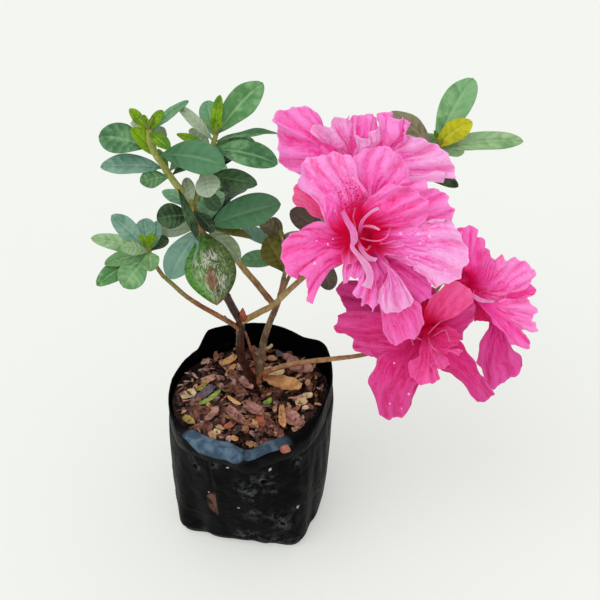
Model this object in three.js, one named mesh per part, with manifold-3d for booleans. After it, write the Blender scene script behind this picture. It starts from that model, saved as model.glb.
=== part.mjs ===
// A small azalea shrub in flower, standing in a black film nursery bag.
//
// Millimetres, +Z up. The origin is the centre of the bag's flat underside, +X is the plant's
// right and -Y its front, the side that the blooms face. A compass angle is counted from +X
// towards +Y, so the back is 90 degrees and the front is 270.
//
// From the ground up: the bag, the soil in it, a short main stem with a second stem beside it,
// and four thin branches. Every branch ends in shoots of leaves, or in blooms on their stalks.
import * as THREE from "three";
import { mergeVertices } from "three/addons/utils/BufferGeometryUtils.js";
import Module from "manifold-3d";

const wasm = await Module();
wasm.setup();

// ---------------------------------------------------------------- sizes

const GAP = 0.3; // air between pieces that touch on the real plant
const DEGREE = Math.PI / 180;

const FILM = 0.9; // wall of the bag, its creases and folds included
const WALL_HEIGHTS = [4, 30, 60]; // where the bag's inside changes slope below the soil's top
const BAG_SEGMENTS = 28;
const CUFF_DROP = 13; // how far the rolled rim hangs down in front
const CUFF_WIDTH = 5.5; // how far it stands out from the wall
const CUFF_CENTRE = 268; // compass angle of the middle of the rolled rim
const CUFF_HALF_ANGLE = 75;

// The bag's outline by compass angle: [angle, foot radius, rim radius, rim height].
const BAG_OUTLINE = [
  [0, 38, 42, 87],
  [28, 39, 43, 91],
  [50, 39, 42, 86.5],
  [90, 39, 41, 89],
  [124, 39, 39.5, 90.5],
  [136, 39, 40.5, 80.5],
  [165, 40, 41, 77.5],
  [198, 42, 41.5, 73.5],
  [213, 44.5, 41, 75],
  [231, 37.5, 41, 80.5],
  [257, 34.5, 41.5, 81],
  [270, 34.5, 42, 77],
  [285, 37.5, 42, 81],
  [305, 44, 41.5, 81.5],
  [325, 39, 41, 83],
  [345, 37.5, 41, 84],
];

const SOIL_TOP = 72;
const SOIL_BUMP = 1.1;
const SOIL_SLACK = 0.7; // extra air round the soil, where the flat facets of the bag cut inwards
const STEM_PATCH = 14; // radius of the level patch that the stems stand on
const STEM_FOOT = SOIL_TOP + GAP;

const LIMB_SIDES = 6;
const SHOOT_SIDES = 4;
const LIMB_STEP = 7; // length of one straight piece of a limb

const LEAF_THICKNESS = 0.8; // at the midrib, thinning to a sharp margin
const LEAF_ROWS = 4;
const LEAF_DROOP = 22; // degrees that a leaf bends down from its foot to its tip
const LEAF_FOLD = 0.16; // rise of the margins over the midrib, for each mm of half width
const LEAF_WIDEST = 1.3; // 1 puts the widest place halfway, more puts it nearer the tip
const LEAF_WIDTH = 0.44; // usual width over length
const GOLDEN_ANGLE = 137.5;

const PETAL_THICKNESS = 0.9;
const PETAL_COLUMNS = 4;
const PETAL_ROWS = 4;
const PETAL_FOOT_ANGLE = 12; // degrees between a petal's foot and the bloom's axis
const PETAL_FLARE_START = 0.16; // parts of the petal's length between which it bends open
const PETAL_FLARE_END = 0.6;
const PETAL_FOOT_WIDTH = 0.16;
const PETAL_CLAW = 0.16; // share of the length that stays narrow, inside the tube
const PETAL_WIDEST = 0.66;
const PETAL_CUP = 0.14;
const RUFFLE = 0.8; // height of the waves at a petal's margin
const TUBE_LENGTH = 20; // from the calyx to the mouth of a bloom
const TUBE_RADIUS = 3.4;
const CALYX_RADIUS = 1.5;

// ---------------------------------------------------------------- solids

// Sends every vertex (x, y, z) of a closed three.js geometry to place(x, y, z), and returns the
// closed solid that its triangles then bound.
function solid(geometry, place) {
  const point = geometry.getAttribute("position");
  for (let i = 0; i < point.count; i += 1) {
    const moved = place(point.getX(i), point.getY(i), point.getZ(i));
    point.setXYZ(i, moved.x, moved.y, moved.z);
  }
  geometry.deleteAttribute("normal");
  geometry.deleteAttribute("uv");
  const merged = mergeVertices(geometry, 1e-3);
  const triangles = [];
  for (let i = 0; i < merged.index.count; i += 3) {
    const [a, b, c] = merged.index.array.slice(i, i + 3);
    if (a !== b && b !== c && c !== a) {
      triangles.push(a, b, c);
    }
  }
  const mesh = new wasm.Mesh({
    numProp: 3,
    vertProperties: new Float32Array(merged.getAttribute("position").array),
    triVerts: new Uint32Array(triangles),
  });
  return new wasm.Manifold(mesh);
}

const fused = (solids) => solids.reduce((sum, next) => sum.add(next));

// The largest separate body of a solid, with any sealed hollow inside it filled.
function largestBody(body) {
  return body.decompose().reduce((best, next) => (next.volume() > best.volume() ? next : best));
}

const vector = ([x, y, z]) => new THREE.Vector3(x, y, z);

// The unit vector that points along a compass heading and rises above the horizon.
function direction(heading, rise) {
  const level = Math.cos(rise * DEGREE);
  const east = level * Math.cos(heading * DEGREE);
  const north = level * Math.sin(heading * DEGREE);
  return new THREE.Vector3(east, north, Math.sin(rise * DEGREE));
}

const { lerp, smoothstep } = THREE.MathUtils;

// ---------------------------------------------------------------- bag and soil

// [foot radius, rim radius, rim height] of the bag at a compass angle, eased between the rows
// of its outline.
function bagAt(compass) {
  const angle = ((compass % 360) + 360) % 360;
  const last = BAG_OUTLINE.findLastIndex((row) => row[0] <= angle);
  const here = BAG_OUTLINE[last];
  const next = BAG_OUTLINE[(last + 1) % BAG_OUTLINE.length];
  const span = (next[0] - here[0] + 360) % 360;
  const t = smoothstep((angle - here[0]) / span, 0, 1);
  return [1, 2, 3].map((column) => lerp(here[column], next[column], t));
}

// How far the rim is rolled outwards at a compass angle, from 0 to 1.
function cuffAt(compass) {
  const away = Math.abs(((compass - CUFF_CENTRE + 540) % 360) - 180);
  return 1 - smoothstep(away, 0.45 * CUFF_HALF_ANGLE, CUFF_HALF_ANGLE);
}

// Outer radius of the bag's wall at a compass angle and a share of its height: drawn in at the
// foot, a little full at half height, and straight from there to the rim.
function wallRadius(compass, level) {
  const [foot, rim] = bagAt(compass);
  const fullness = 1.2 * Math.sin(Math.PI * level);
  return lerp(foot, rim, Math.min(1, 1.25 * level)) + fullness - 2.2 * (1 - smoothstep(level, 0, 0.06));
}

const compassOf = (x, z) => Math.atan2(z, x) / DEGREE;

function polar(compass, radius, height) {
  const x = radius * Math.cos(compass * DEGREE);
  const y = radius * Math.sin(compass * DEGREE);
  return new THREE.Vector3(x, y, height);
}

// An upright solid of round plan. Each level gives its radius and its height as functions of the
// compass angle.
function drum(levels) {
  const rows = levels.length - 1;
  const barrel = new THREE.CylinderGeometry(1, 1, 1, BAG_SEGMENTS, rows);
  return solid(barrel, (x, y, z) => {
    const level = levels[Math.round((y + 0.5) * rows)];
    const compass = compassOf(x, -z);
    const onAxis = Math.hypot(x, z) < 0.5;
    return polar(compass, onAxis ? 0 : level.radius(compass), level.height(compass));
  });
}

const rimHeight = (compass) => bagAt(compass)[2];

// Inner radius of the bag's wall at a compass angle and a height.
function innerRadius(compass, height) {
  return wallRadius(compass, Math.min(1, height / rimHeight(compass))) - FILM;
}

function bagSolid() {
  const wall = (share) => ({
    radius: (compass) => wallRadius(compass, share),
    height: (compass) => share * rimHeight(compass),
  });
  const cuff = (drop, share) => ({
    radius: (compass) => wallRadius(compass, 0.95) + share * CUFF_WIDTH * cuffAt(compass),
    height: (compass) => rimHeight(compass) - drop,
  });
  const outside = drum([
    wall(0),
    wall(0.05),
    wall(0.35),
    wall(0.6),
    cuff(CUFF_DROP, 0.15),
    cuff(CUFF_DROP - 1.5, 0.8),
    cuff(2, 1),
    cuff(0, 0.85),
  ]);
  const inside = drum([FILM, ...WALL_HEIGHTS, SOIL_TOP, 84, 100].map((height) => ({
    radius: (compass) => innerRadius(compass, height),
    height: () => height,
  })));
  return outside.subtract(inside);
}

// The soil fills the bag up to a rough top that is level where the stems stand.
function soilSolid() {
  const foot = FILM + GAP;
  const side = [foot, ...WALL_HEIGHTS, SOIL_TOP].map((height) => ({ ring: 1, height }));
  const top = [0.8, 0.55, 0.3, 0].map((ring) => ({ ring, height: SOIL_TOP }));
  const rows = [{ ring: 0, height: foot }, ...side, ...top];
  const profile = rows.map(({ ring }, i) => new THREE.Vector2(ring, i));
  return solid(new THREE.LatheGeometry(profile, BAG_SEGMENTS), (x, y, z) => {
    const { ring, height } = rows[Math.round(y)];
    const compass = compassOf(x, -z);
    const radius = ring * (innerRadius(compass, height) - GAP - SOIL_SLACK);
    const place = polar(compass, radius, height);
    const rough = height === SOIL_TOP ? smoothstep(radius, STEM_PATCH, 22) : 0;
    const wave = Math.sin(0.31 * place.x + 1) * Math.cos(0.27 * place.y - 0.6) - 0.4;
    place.z += SOIL_BUMP * rough * wave;
    return place;
  });
}

// ---------------------------------------------------------------- limbs

// A tapering limb along a smooth curve through the points of its route. A root flare widens its
// foot. swell makes it fatter all round.
function limb(route, footRadius, tipRadius, { swell = 0, flare = 0, sides = LIMB_SIDES } = {}) {
  const curve = new THREE.CatmullRomCurve3(route.map(vector), false, "catmullrom", 0.5);
  const length = curve.getLength();
  const steps = Math.max(2, Math.round(length / LIMB_STEP));
  const { normals, binormals } = curve.computeFrenetFrames(steps, false);
  return solid(new THREE.CylinderGeometry(1, 1, 1, sides, steps), (x, y, z) => {
    const step = Math.round((y + 0.5) * steps);
    const share = step / steps;
    const taper = lerp(footRadius, tipRadius, share);
    const radius = taper + flare * Math.exp(-share * length / 4) + swell;
    const centre = curve.getPointAt(share);
    return centre
      .addScaledVector(normals[step], x * radius)
      .addScaledVector(binormals[step], -z * radius);
  });
}

// Everything under the stems' feet, to cut them off level.
function groundBlock() {
  const depth = 20;
  return solid(new THREE.BoxGeometry(60, 60, depth), (x, y, z) => (
    new THREE.Vector3(x, y, z + STEM_FOOT - depth / 2)
  ));
}

// ---------------------------------------------------------------- leaves

// One leaf: an elliptic blade that grows from its foot along a heading, rising from the horizon
// and bending down as it goes. roll turns it about its own length.
function leaf(foot, { heading, rise, length, width = LEAF_WIDTH, roll = 0, droop = LEAF_DROOP }, swell) {
  const level = direction(heading, 0);
  const across = direction(heading + 90, 0);
  const bend = droop * DEGREE;
  const start = rise * DEGREE + bend / 2;
  const blade = new THREE.CylinderGeometry(1, 1, 1, 4, LEAF_ROWS);
  return solid(blade, (x, y, z) => {
    const share = y + 0.5;
    const reached = share + (share * 2 - 1) * (swell / length);
    const angle = start - bend * reached;
    const along = (Math.sin(start) - Math.sin(angle)) / bend;
    const up = (Math.cos(angle) - Math.cos(start)) / bend;
    const normal = new THREE.Vector3(0, 0, Math.cos(angle)).addScaledVector(level, -Math.sin(angle));
    const turn = roll * DEGREE;
    const side = across.clone().multiplyScalar(Math.cos(turn)).addScaledVector(normal, Math.sin(turn));
    const face = normal.clone().multiplyScalar(Math.cos(turn)).addScaledVector(across, -Math.sin(turn));
    const outline = Math.sin(Math.PI * share ** LEAF_WIDEST) ** 0.8;
    const halfWidth = Math.max(0.45, (length * width * outline) / 2) + swell;
    const halfThickness = LEAF_THICKNESS / 2 + swell;
    return foot.clone()
      .addScaledVector(level, length * along)
      .add(new THREE.Vector3(0, 0, length * up))
      .addScaledVector(side, x * halfWidth)
      .addScaledVector(face, Math.abs(x) * halfWidth * LEAF_FOLD - z * halfThickness);
  });
}

// A shoot: a thin green stem with its leaves fused on. Each leaf states where on the stem it
// grows, as a share of the stem's length counted from the foot.
function shoot({ route, footRadius, tipRadius, leaves }, swell) {
  const curve = new THREE.CatmullRomCurve3(route.map(vector), false, "catmullrom", 0.5);
  const stem = limb(route, footRadius, tipRadius, { swell, sides: SHOOT_SIDES });
  const blades = leaves.map(({ at = 0.96, ...blade }) => leaf(curve.getPointAt(at), blade, swell));
  return fused([stem, ...blades]);
}

// Leaves set by the golden angle within an arc of headings that starts at from: the side of a
// shoot that the front doesn't show.
function spareLeaves(count, { from, arc = 130, rise, length, at }) {
  return Array.from({ length: count }, (_, i) => ({
    heading: from + ((i * GOLDEN_ANGLE) % arc),
    rise: rise + 9 * Math.sin(2.4 * i),
    length: length + 3 * Math.cos(1.7 * i),
    at: at + 0.05 * Math.sin(1.3 * i),
  }));
}

// ---------------------------------------------------------------- blooms

// Share of a petal's full width at a share of its length: a narrow claw, widest at two thirds,
// and a round end.
function petalOutline(along) {
  if (along < PETAL_WIDEST) {
    return lerp(PETAL_FOOT_WIDTH, 1, smoothstep(along, PETAL_CLAW, PETAL_WIDEST));
  }
  const past = (along - PETAL_WIDEST) / (1 - PETAL_WIDEST);
  return Math.sqrt(Math.max(0, 1 - past ** 2.4));
}

// A petal's midline in the plane of the bloom's axis, as unit steps: [out, forward] from its
// foot, and the angle that it has there to the axis.
function petalMidline(spread) {
  const fine = 60;
  const line = [{ out: 0, forward: 0, angle: PETAL_FOOT_ANGLE * DEGREE }];
  for (let i = 1; i <= fine; i += 1) {
    const opened = smoothstep((i - 0.5) / fine, PETAL_FLARE_START, PETAL_FLARE_END);
    const angle = lerp(PETAL_FOOT_ANGLE, spread, opened) * DEGREE;
    const before = line[i - 1];
    line.push({
      out: before.out + Math.sin(angle) / fine,
      forward: before.forward + Math.cos(angle) / fine,
      angle,
    });
  }
  return (share) => line[Math.round(share * fine)];
}

// One petal of a bloom. turn is its place on the clock, counted in degrees from the top as the
// viewer sees the open bloom. reach is how far its tip stands from the axis, spread the angle
// between its open part and the axis, and seat the distance of its foot from the axis.
function petal(bloom, { turn, reach, width, spread = 88, seat = 1.2, ruffle = RUFFLE }, order, swell) {
  const axis = direction(bloom.heading, bloom.rise);
  const up = new THREE.Vector3(0, 0, 1).addScaledVector(axis, -axis.z).normalize();
  const right = up.clone().cross(axis);
  const radial = up.clone().multiplyScalar(Math.cos(turn * DEGREE));
  radial.addScaledVector(right, Math.sin(turn * DEGREE));
  const across = axis.clone().cross(radial);
  const midline = petalMidline(spread);
  const length = (reach - seat) / midline(1).out;
  const foot = vector(bloom.centre).addScaledVector(axis, -TUBE_LENGTH);
  const phase = order * GOLDEN_ANGLE * DEGREE;
  const sheet = new THREE.BoxGeometry(1, 1, 1, PETAL_COLUMNS, PETAL_ROWS);
  return solid(sheet, (x, y, z) => {
    const v = 2 * x;
    const share = y + 0.5;
    const { out, forward, angle } = midline(share);
    const normal = radial.clone().multiplyScalar(-Math.cos(angle)).addScaledVector(axis, Math.sin(angle));
    const rounding = 1 - 0.16 * share * v * v;
    const halfWidth = (width / 2) * petalOutline(Math.min(share, 0.93)) + swell;
    const wave = Math.sin(1.0 * Math.PI * v + phase) + 0.6 * Math.cos(3.3 * v - phase + 4 * share);
    const lift = PETAL_CUP * halfWidth * v * v + ruffle * share * share * wave;
    const atMargin = Math.abs(v) > 0.99 || share > 0.99 || share < 0.01;
    const halfThickness = (atMargin ? 0 : PETAL_THICKNESS / 2) + swell;
    return foot.clone()
      .addScaledVector(radial, seat + length * out * rounding + swell * (2 * share - 1))
      .addScaledVector(axis, length * forward)
      .addScaledVector(across, v * halfWidth)
      .addScaledVector(normal, lift - 2 * z * halfThickness);
  });
}

// A bloom: its stalk, the solid lower part of its tube, and its petals, fused to one body.
function bloomSolid(bloom, swell) {
  const axis = direction(bloom.heading, bloom.rise);
  const foot = vector(bloom.centre).addScaledVector(axis, -TUBE_LENGTH);
  const mouth = foot.clone().addScaledVector(axis, 0.62 * TUBE_LENGTH);
  const inTube = foot.clone().addScaledVector(axis, 3);
  const stalkRoute = [bloom.from, ...bloom.stalk, foot.toArray(), inTube.toArray()];
  const stalk = limb(stalkRoute, 0.9, 1.1, { swell, sides: SHOOT_SIDES });
  const tube = limb([foot.toArray(), mouth.toArray()], CALYX_RADIUS, TUBE_RADIUS, { swell });
  const petals = bloom.petals.map((row, order) => petal(bloom, row, order + bloom.seed, swell));
  return fused([stalk, tube, ...petals]);
}

// ---------------------------------------------------------------- the plant's limbs

const MAIN_FORK = [-23.9, 3, 187.3];
const LOW_FORK = [-3.6, 2, 119.4];
const FRONT_TIP = [44.7, 15, 156.5];
const RIGHT_TIP = [90, 19, 116];
const LEFT_TIP = [-37.4, -8, 154.8];
const BACK_TIP = [17.8, 16, 136.9];
const LEANING_TIP = [-16.1, 8, 170.1];

const LIMBS = {
  main_stem: {
    route: [
      [2.4, 8, 66], [1.8, 8, 74], [-3.1, 5, 92.6], [-4.1, 3, 105.9], LOW_FORK,
      [-7.5, 1, 131.1], [-15.1, 1, 151.7], [-20.4, 2, 175], MAIN_FORK,
    ],
    radii: [2.3, 1.9],
    flare: 3.2,
    colour: 0x44261d,
  },
  back_stem: {
    route: [[3.4, 9, 72], [5.1, 10, 85], [8.5, 12, 105.1], [14.8, 14, 123.1], BACK_TIP],
    radii: [2.3, 1.1],
    colour: 0x694e33,
  },
  right_branch: {
    route: [
      [3.5, 8, 75.5], [8.2, 7, 83.5], [25.1, 5, 91.3], [50.9, 6, 94.4], [62, 8, 96],
      [79, 14, 102], RIGHT_TIP,
    ],
    radii: [1.5, 0.9],
    colour: 0x88765e,
  },
  left_branch: {
    route: [[-4, 2, 115.5], [-8.9, 1, 120.8], [-25.8, -3, 137.2], LEFT_TIP],
    radii: [1.3, 0.95],
    colour: 0x7c6240,
  },
  front_branch: {
    route: [[-4, 2, 119.5], [6.3, 1, 126.9], [12.6, 2, 130.4], [24.2, 6, 140.6], FRONT_TIP],
    radii: [1.6, 1.1],
    colour: 0x70543a,
  },
  leaning_branch: {
    route: [[13.7, 14, 120.6], [9.9, 13, 126.3], [-6.6, 10, 154.6], LEANING_TIP],
    radii: [1.5, 1.35],
    colour: 0x7a5e3e,
  },
  sucker: {
    route: [[4.2, 10, 78], [3.2, 11, 86], [1.3, 10, 97], [-0.2, 8, 109]],
    radii: [0.8, 0.6],
    colour: 0x8a4a3a,
  },
};

// ---------------------------------------------------------------- the plant's blooms

const BLOOMS = {
  bloom_front: {
    centre: [52, -16, 181],
    heading: -98,
    rise: 32,
    from: FRONT_TIP,
    stalk: [[50, 10, 163]],
    seed: 1,
    petals: [
      { turn: -31, reach: 42, width: 33, spread: 84 },
      { turn: -62, reach: 31, width: 26, spread: 96 },
      { turn: 245, reach: 38, width: 34, spread: 88 },
      { turn: 204, reach: 27, width: 26, spread: 78 },
      { turn: 156, reach: 37, width: 30, spread: 80 },
      { turn: 107, reach: 48, width: 38, spread: 88 },
      { turn: 71, reach: 43, width: 30, spread: 92 },
      { turn: 36, reach: 34, width: 30, spread: 84 },
    ],
    colour: 0xef58af,
  },
  bloom_top: {
    centre: [50, 9, 196],
    heading: -92,
    rise: 52,
    from: FRONT_TIP,
    stalk: [[46.5, 18, 167]],
    seed: 6,
    petals: [
      { turn: -54, reach: 49, width: 29, spread: 92 },
      { turn: -18, reach: 31, width: 26, spread: 82 },
      { turn: 14, reach: 31, width: 28, spread: 84 },
      { turn: 42, reach: 32, width: 26, spread: 78 },
      { turn: 76, reach: 46, width: 36, spread: 92 },
      { turn: 120, reach: 34, width: 30, spread: 96 },
      { turn: 250, reach: 26, width: 28, spread: 90 },
    ],
    colour: 0xf075c0,
  },
  bloom_low: {
    centre: [86, -7, 126],
    heading: -95,
    rise: 24,
    from: RIGHT_TIP,
    stalk: [[89.5, 16, 117]],
    seed: 3,
    petals: [
      { turn: 268, reach: 42, width: 36, spread: 86 },
      { turn: 300, reach: 44, width: 34, spread: 98 },
      { turn: 202, reach: 46, width: 34, spread: 84 },
      { turn: 142, reach: 48, width: 24, spread: 86 },
      { turn: 95, reach: 30, width: 28, spread: 90 },
      { turn: 35, reach: 30, width: 32, spread: 72 },
    ],
    colour: 0xf345a0,
  },
  bloom_right: {
    centre: [109, 6, 139.5],
    heading: -56,
    rise: 18,
    from: RIGHT_TIP,
    stalk: [[94, 21, 126]],
    seed: 9,
    petals: [
      { turn: 2, reach: 29, width: 26, spread: 78 },
      { turn: 56, reach: 29, width: 28, spread: 84 },
      { turn: 100, reach: 41, width: 32, spread: 88 },
      { turn: 138, reach: 41, width: 26, spread: 84 },
      { turn: 170, reach: 56, width: 32, spread: 92 },
      { turn: 226, reach: 28, width: 26, spread: 88 },
      { turn: 300, reach: 30, width: 26, spread: 92 },
    ],
    colour: 0xda4290,
  },
};

// ---------------------------------------------------------------- the plant's leafy shoots

const LEAF_GREEN = 0x6f9d76;
const OLD_LEAF_GREEN = 0x5a7c5a;

const SHOOTS = {
  leaves_upper_left: {
    route: [MAIN_FORK, [-30.6, 2, 199.9], [-38.4, 1, 216], [-39.3, 2, 225]],
    footRadius: 1.6,
    tipRadius: 1.3,
    leaves: [
      { heading: 174, rise: 15, length: 24, width: 0.59, at: 0.77, roll: -40 },
      { heading: -173, rise: 5, length: 28, width: 0.34, at: 0.51, roll: -43 },
      { heading: -151, rise: 9, length: 15, width: 0.54, at: 0.38, roll: -47 },
      { heading: 157, rise: 48, length: 13, width: 0.37, roll: -34 },
      { heading: 17, rise: 54, length: 12, width: 0.42, roll: 38 },
      { heading: -180, rise: 54, length: 18, width: 0.41, at: 0.65, roll: -53 },
      { heading: -51, rise: -5, length: 16, width: 0.37, roll: 30 },
      { heading: 46, rise: 15, length: 25, width: 0.19, at: 0.95, roll: 13 },
      { heading: 62, rise: -32, length: 15, width: 0.48, at: 0.95, roll: 62 },
      { heading: 122, rise: -5, length: 17, width: 0.29, roll: -35 },
      { heading: -13, rise: 0, length: 32, width: 0.47, at: 0.69, roll: 44 },
      { heading: -64, rise: -41, length: 27, width: 0.17, at: 0.26, roll: -5 },
      { heading: 157, rise: 67, length: 12, width: 0.34, at: 0.44, roll: -27 },
      ...spareLeaves(2, { from: 40, rise: 2, length: 24, at: 0.4 }),
    ],
    colour: LEAF_GREEN,
  },
  leaves_upper_middle: {
    route: [[-22, 3.6, 187], [-17.4, 5, 201.2], [-12.6, 8, 214], [-11, 8, 219.5]],
    footRadius: 1.3,
    tipRadius: 1.1,
    leaves: [
      { heading: 46, rise: 27, length: 34, width: 0.39, at: 0.95, roll: 30 },
      { heading: 66, rise: 63, length: 20, width: 0.26, at: 0.9, roll: 15 },
      { heading: 104, rise: 31, length: 20, width: 0.46, at: 0.92, roll: -10 },
      { heading: 156, rise: 36, length: 22, width: 0.25, at: 0.88, roll: -28 },
      { heading: 170, rise: 29, length: 17, width: 0.26, at: 0.73, roll: -27 },
      { heading: 130, rise: 12, length: 17, width: 0.37, at: 0.76, roll: -32 },
      { heading: 1, rise: 9, length: 29, width: 0.23, at: 0.87 },
      { heading: -14, rise: -3, length: 31, width: 0.38, at: 0.77, roll: 47 },
      { heading: 27, rise: -7, length: 21, width: 0.34, at: 0.82, roll: 47 },
      { heading: -78, rise: -9, length: 19, width: 0.59, at: 0.49, roll: 10 },
      { heading: -17, rise: 0, length: 26, width: 0.35, at: 0.37, roll: 44 },
      { heading: 10, rise: 0, length: 14, width: 0.27, at: 0.4, roll: 31 },
      { heading: -12, rise: -52, length: 14, width: 0.53, at: 0.23, roll: 34 },
      ...spareLeaves(2, { from: 50, rise: 0, length: 25, at: 0.45 }),
    ],
    colour: LEAF_GREEN,
  },
  leaves_fork: {
    route: [[-21.2, 1, 180], [-22.5, -1.5, 184], [-22.5, -3, 190]],
    footRadius: 0.9,
    tipRadius: 0.8,
    leaves: [
      { heading: -163, rise: 6, length: 17, width: 0.69, at: 0.31, roll: -45 },
      { heading: 104, rise: 32, length: 15, width: 0.39, at: 0.89, roll: -9 },
      { heading: -15, rise: -46, length: 14, width: 0.49, at: 0.72, roll: 37 },
    ],
    colour: OLD_LEAF_GREEN,
  },
  leaves_leaning: {
    route: [LEANING_TIP, [-18, 5.5, 173], [-19.5, 2.5, 175.5]],
    footRadius: 1,
    tipRadius: 0.9,
    leaves: [
      { heading: 4, rise: 16, length: 36, width: 0.44, at: 0.29, roll: 45 },
      { heading: -78, rise: -40, length: 38, width: 0.61, at: 0.74, roll: 8 },
      { heading: -126, rise: -36, length: 29, width: 0.47, at: 0.89, roll: -24 },
      { heading: -171, rise: -7, length: 22, width: 0.35, at: 0.89, roll: -42 },
      { heading: -27, rise: -42, length: 22, width: 0.43, at: 0.37, roll: 37 },
      { heading: -15, rise: -6, length: 21, width: 0.23, at: 0.12, roll: 10 },
      ...spareLeaves(2, { from: 75, rise: 4, length: 26, at: 0.4 }),
    ],
    colour: LEAF_GREEN,
  },
  leaves_left: {
    route: [LEFT_TIP, [-40, -9, 161.1], [-41.7, -10, 167.3], [-42.2, -10, 170.5]],
    footRadius: 0.95,
    tipRadius: 0.85,
    leaves: [
      { heading: 150, rise: 30, length: 24, width: 0.37, roll: -37 },
      { heading: 104, rise: 38, length: 16, width: 0.58, roll: -10 },
      { heading: 177, rise: 11, length: 27, width: 0.29, at: 0.94, roll: -42 },
      { heading: -159, rise: -4, length: 21, width: 0.35, at: 0.91, roll: -40 },
      { heading: -150, rise: 25, length: 15, width: 0.41, at: 0.94, roll: -49 },
      { heading: -153, rise: -19, length: 28, width: 0.33, at: 0.88, roll: -35 },
      { heading: -128, rise: -22, length: 20, width: 0.64, at: 0.85, roll: -27 },
      { heading: -80, rise: 6, length: 18, width: 0.48, at: 0.94, roll: 13 },
      { heading: 66, rise: 42, length: 15, width: 0.43, roll: 15 },
      { heading: 45, rise: 17, length: 11, width: 0.58, at: 0.94, roll: 30 },
      { heading: 150, rise: 61, length: 9, width: 0.36, roll: -33 },
      { heading: 61, rise: 70, length: 9, width: 0.34, roll: 17 },
    ],
    colour: LEAF_GREEN,
  },
  leaves_back: {
    route: [BACK_TIP, [18.9, 16, 147], [17, 16, 161]],
    footRadius: 1.05,
    tipRadius: 0.8,
    leaves: [
      { heading: 177, rise: 70, length: 24, width: 0.65, at: 0.04, roll: -62 },
      { heading: 161, rise: -10, length: 25, width: 0.36, at: 0.37, roll: -46 },
      { heading: 140, rise: 24, length: 18, width: 0.4, at: 0.83, roll: -33 },
      { heading: 142, rise: 0, length: 28, width: 0.26, at: 0.66, roll: -37 },
      { heading: 112, rise: 15, length: 14, width: 0.43, at: 0.95, roll: -18 },
      ...spareLeaves(3, { from: 25, rise: 6, length: 26, at: 0.6 }),
    ],
    colour: OLD_LEAF_GREEN,
  },
  leaves_under_bloom: {
    route: [[33, 9.4, 148], [37, 13, 154], [38.5, 15, 161]],
    footRadius: 0.9,
    tipRadius: 0.8,
    leaves: [
      { heading: 158, rise: 34, length: 22, width: 0.51, roll: -41 },
      { heading: 165, rise: -1, length: 22, width: 0.28, at: 0.8, roll: -42 },
      { heading: -67, rise: -64, length: 18, width: 0.52, at: 0.43, roll: 15 },
      ...spareLeaves(3, { from: 40, rise: -4, length: 25, at: 0.6 }),
    ],
    colour: OLD_LEAF_GREEN,
  },
  leaves_top_right: {
    route: [[45.4, 16, 157.3], [59, 24, 167.6], [72.8, 28, 181.7], [83.7, 28, 195.2], [89.1, 28, 202.5]],
    footRadius: 1,
    tipRadius: 0.9,
    leaves: [
      { heading: 56, rise: 38, length: 40, width: 0.36, roll: 24 },
      { heading: 3, rise: 42, length: 22, width: 0.45, roll: 53 },
      { heading: 0, rise: 9, length: 41, width: 0.23, roll: 45 },
      { heading: 142, rise: 26, length: 28, width: 0.36, roll: -32 },
      { heading: -22, rise: -10, length: 22, width: 0.31, at: 0.75, roll: 34 },
      { heading: 26, rise: -17, length: 18, width: 0.45, roll: 48 },
      ...spareLeaves(2, { from: 60, rise: 8, length: 26, at: 0.72 }),
      ...spareLeaves(4, { from: 45, rise: -4, length: 27, at: 0.22 }),
    ],
    colour: LEAF_GREEN,
  },
  leaves_right: {
    route: [[90.8, 20.3, 116.6], [95, 27, 123], [97, 31, 131]],
    footRadius: 0.85,
    tipRadius: 0.8,
    leaves: [
      { heading: 150, rise: 26, length: 27, at: 0.9 },
      { heading: 20, rise: 14, length: 27 },
      { heading: 85, rise: 24, length: 28 },
      ...spareLeaves(4, { from: 35, rise: -6, length: 26, at: 0.55 }),
    ],
    colour: OLD_LEAF_GREEN,
  },
  leaves_rear_left: {
    route: [[-15.2, 1.3, 152], [-16, 12, 158], [-18, 24, 165], [-19, 30, 171]],
    footRadius: 0.95,
    tipRadius: 0.8,
    leaves: [
      { heading: 70, rise: 30, length: 24 },
      ...spareLeaves(4, { from: 55, arc: 105, rise: 4, length: 26, at: 0.86 }),
      ...spareLeaves(2, { from: 75, arc: 90, rise: -8, length: 24, at: 0.55 }),
    ],
    colour: OLD_LEAF_GREEN,
  },
  leaves_rear_right: {
    route: [[12.8, 13.5, 118], [19, 24, 128], [26, 34, 140], [30, 39, 148]],
    footRadius: 0.95,
    tipRadius: 0.8,
    leaves: [
      { heading: 40, rise: 32, length: 24 },
      ...spareLeaves(4, { from: -30, arc: 135, rise: 5, length: 27, at: 0.88 }),
      ...spareLeaves(2, { from: 20, arc: 80, rise: -8, length: 25, at: 0.55 }),
    ],
    colour: LEAF_GREEN,
  },
};

// ---------------------------------------------------------------- assembly

const plant = new THREE.Group();
const keepOuts = [];

// Adds a named mesh to the plant, cut clear of every piece that was kept out before it.
function addPiece(name, body, colour, roughness) {
  const clear = keepOuts.reduce((rest, keepOut) => rest.subtract(keepOut), body);
  const { vertProperties, triVerts } = largestBody(clear).getMesh();
  const geometry = new THREE.BufferGeometry();
  geometry.setAttribute("position", new THREE.BufferAttribute(vertProperties, 3));
  geometry.setIndex(new THREE.BufferAttribute(triVerts, 1));
  geometry.computeVertexNormals();
  const material = new THREE.MeshStandardMaterial({ color: colour, roughness, metalness: 0 });
  const mesh = new THREE.Mesh(geometry, material);
  mesh.name = name;
  plant.add(mesh);
}

addPiece("bag", bagSolid(), 0x202020, 0.45);
addPiece("soil", soilSolid(), 0x2d1e17, 0.95);

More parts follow.
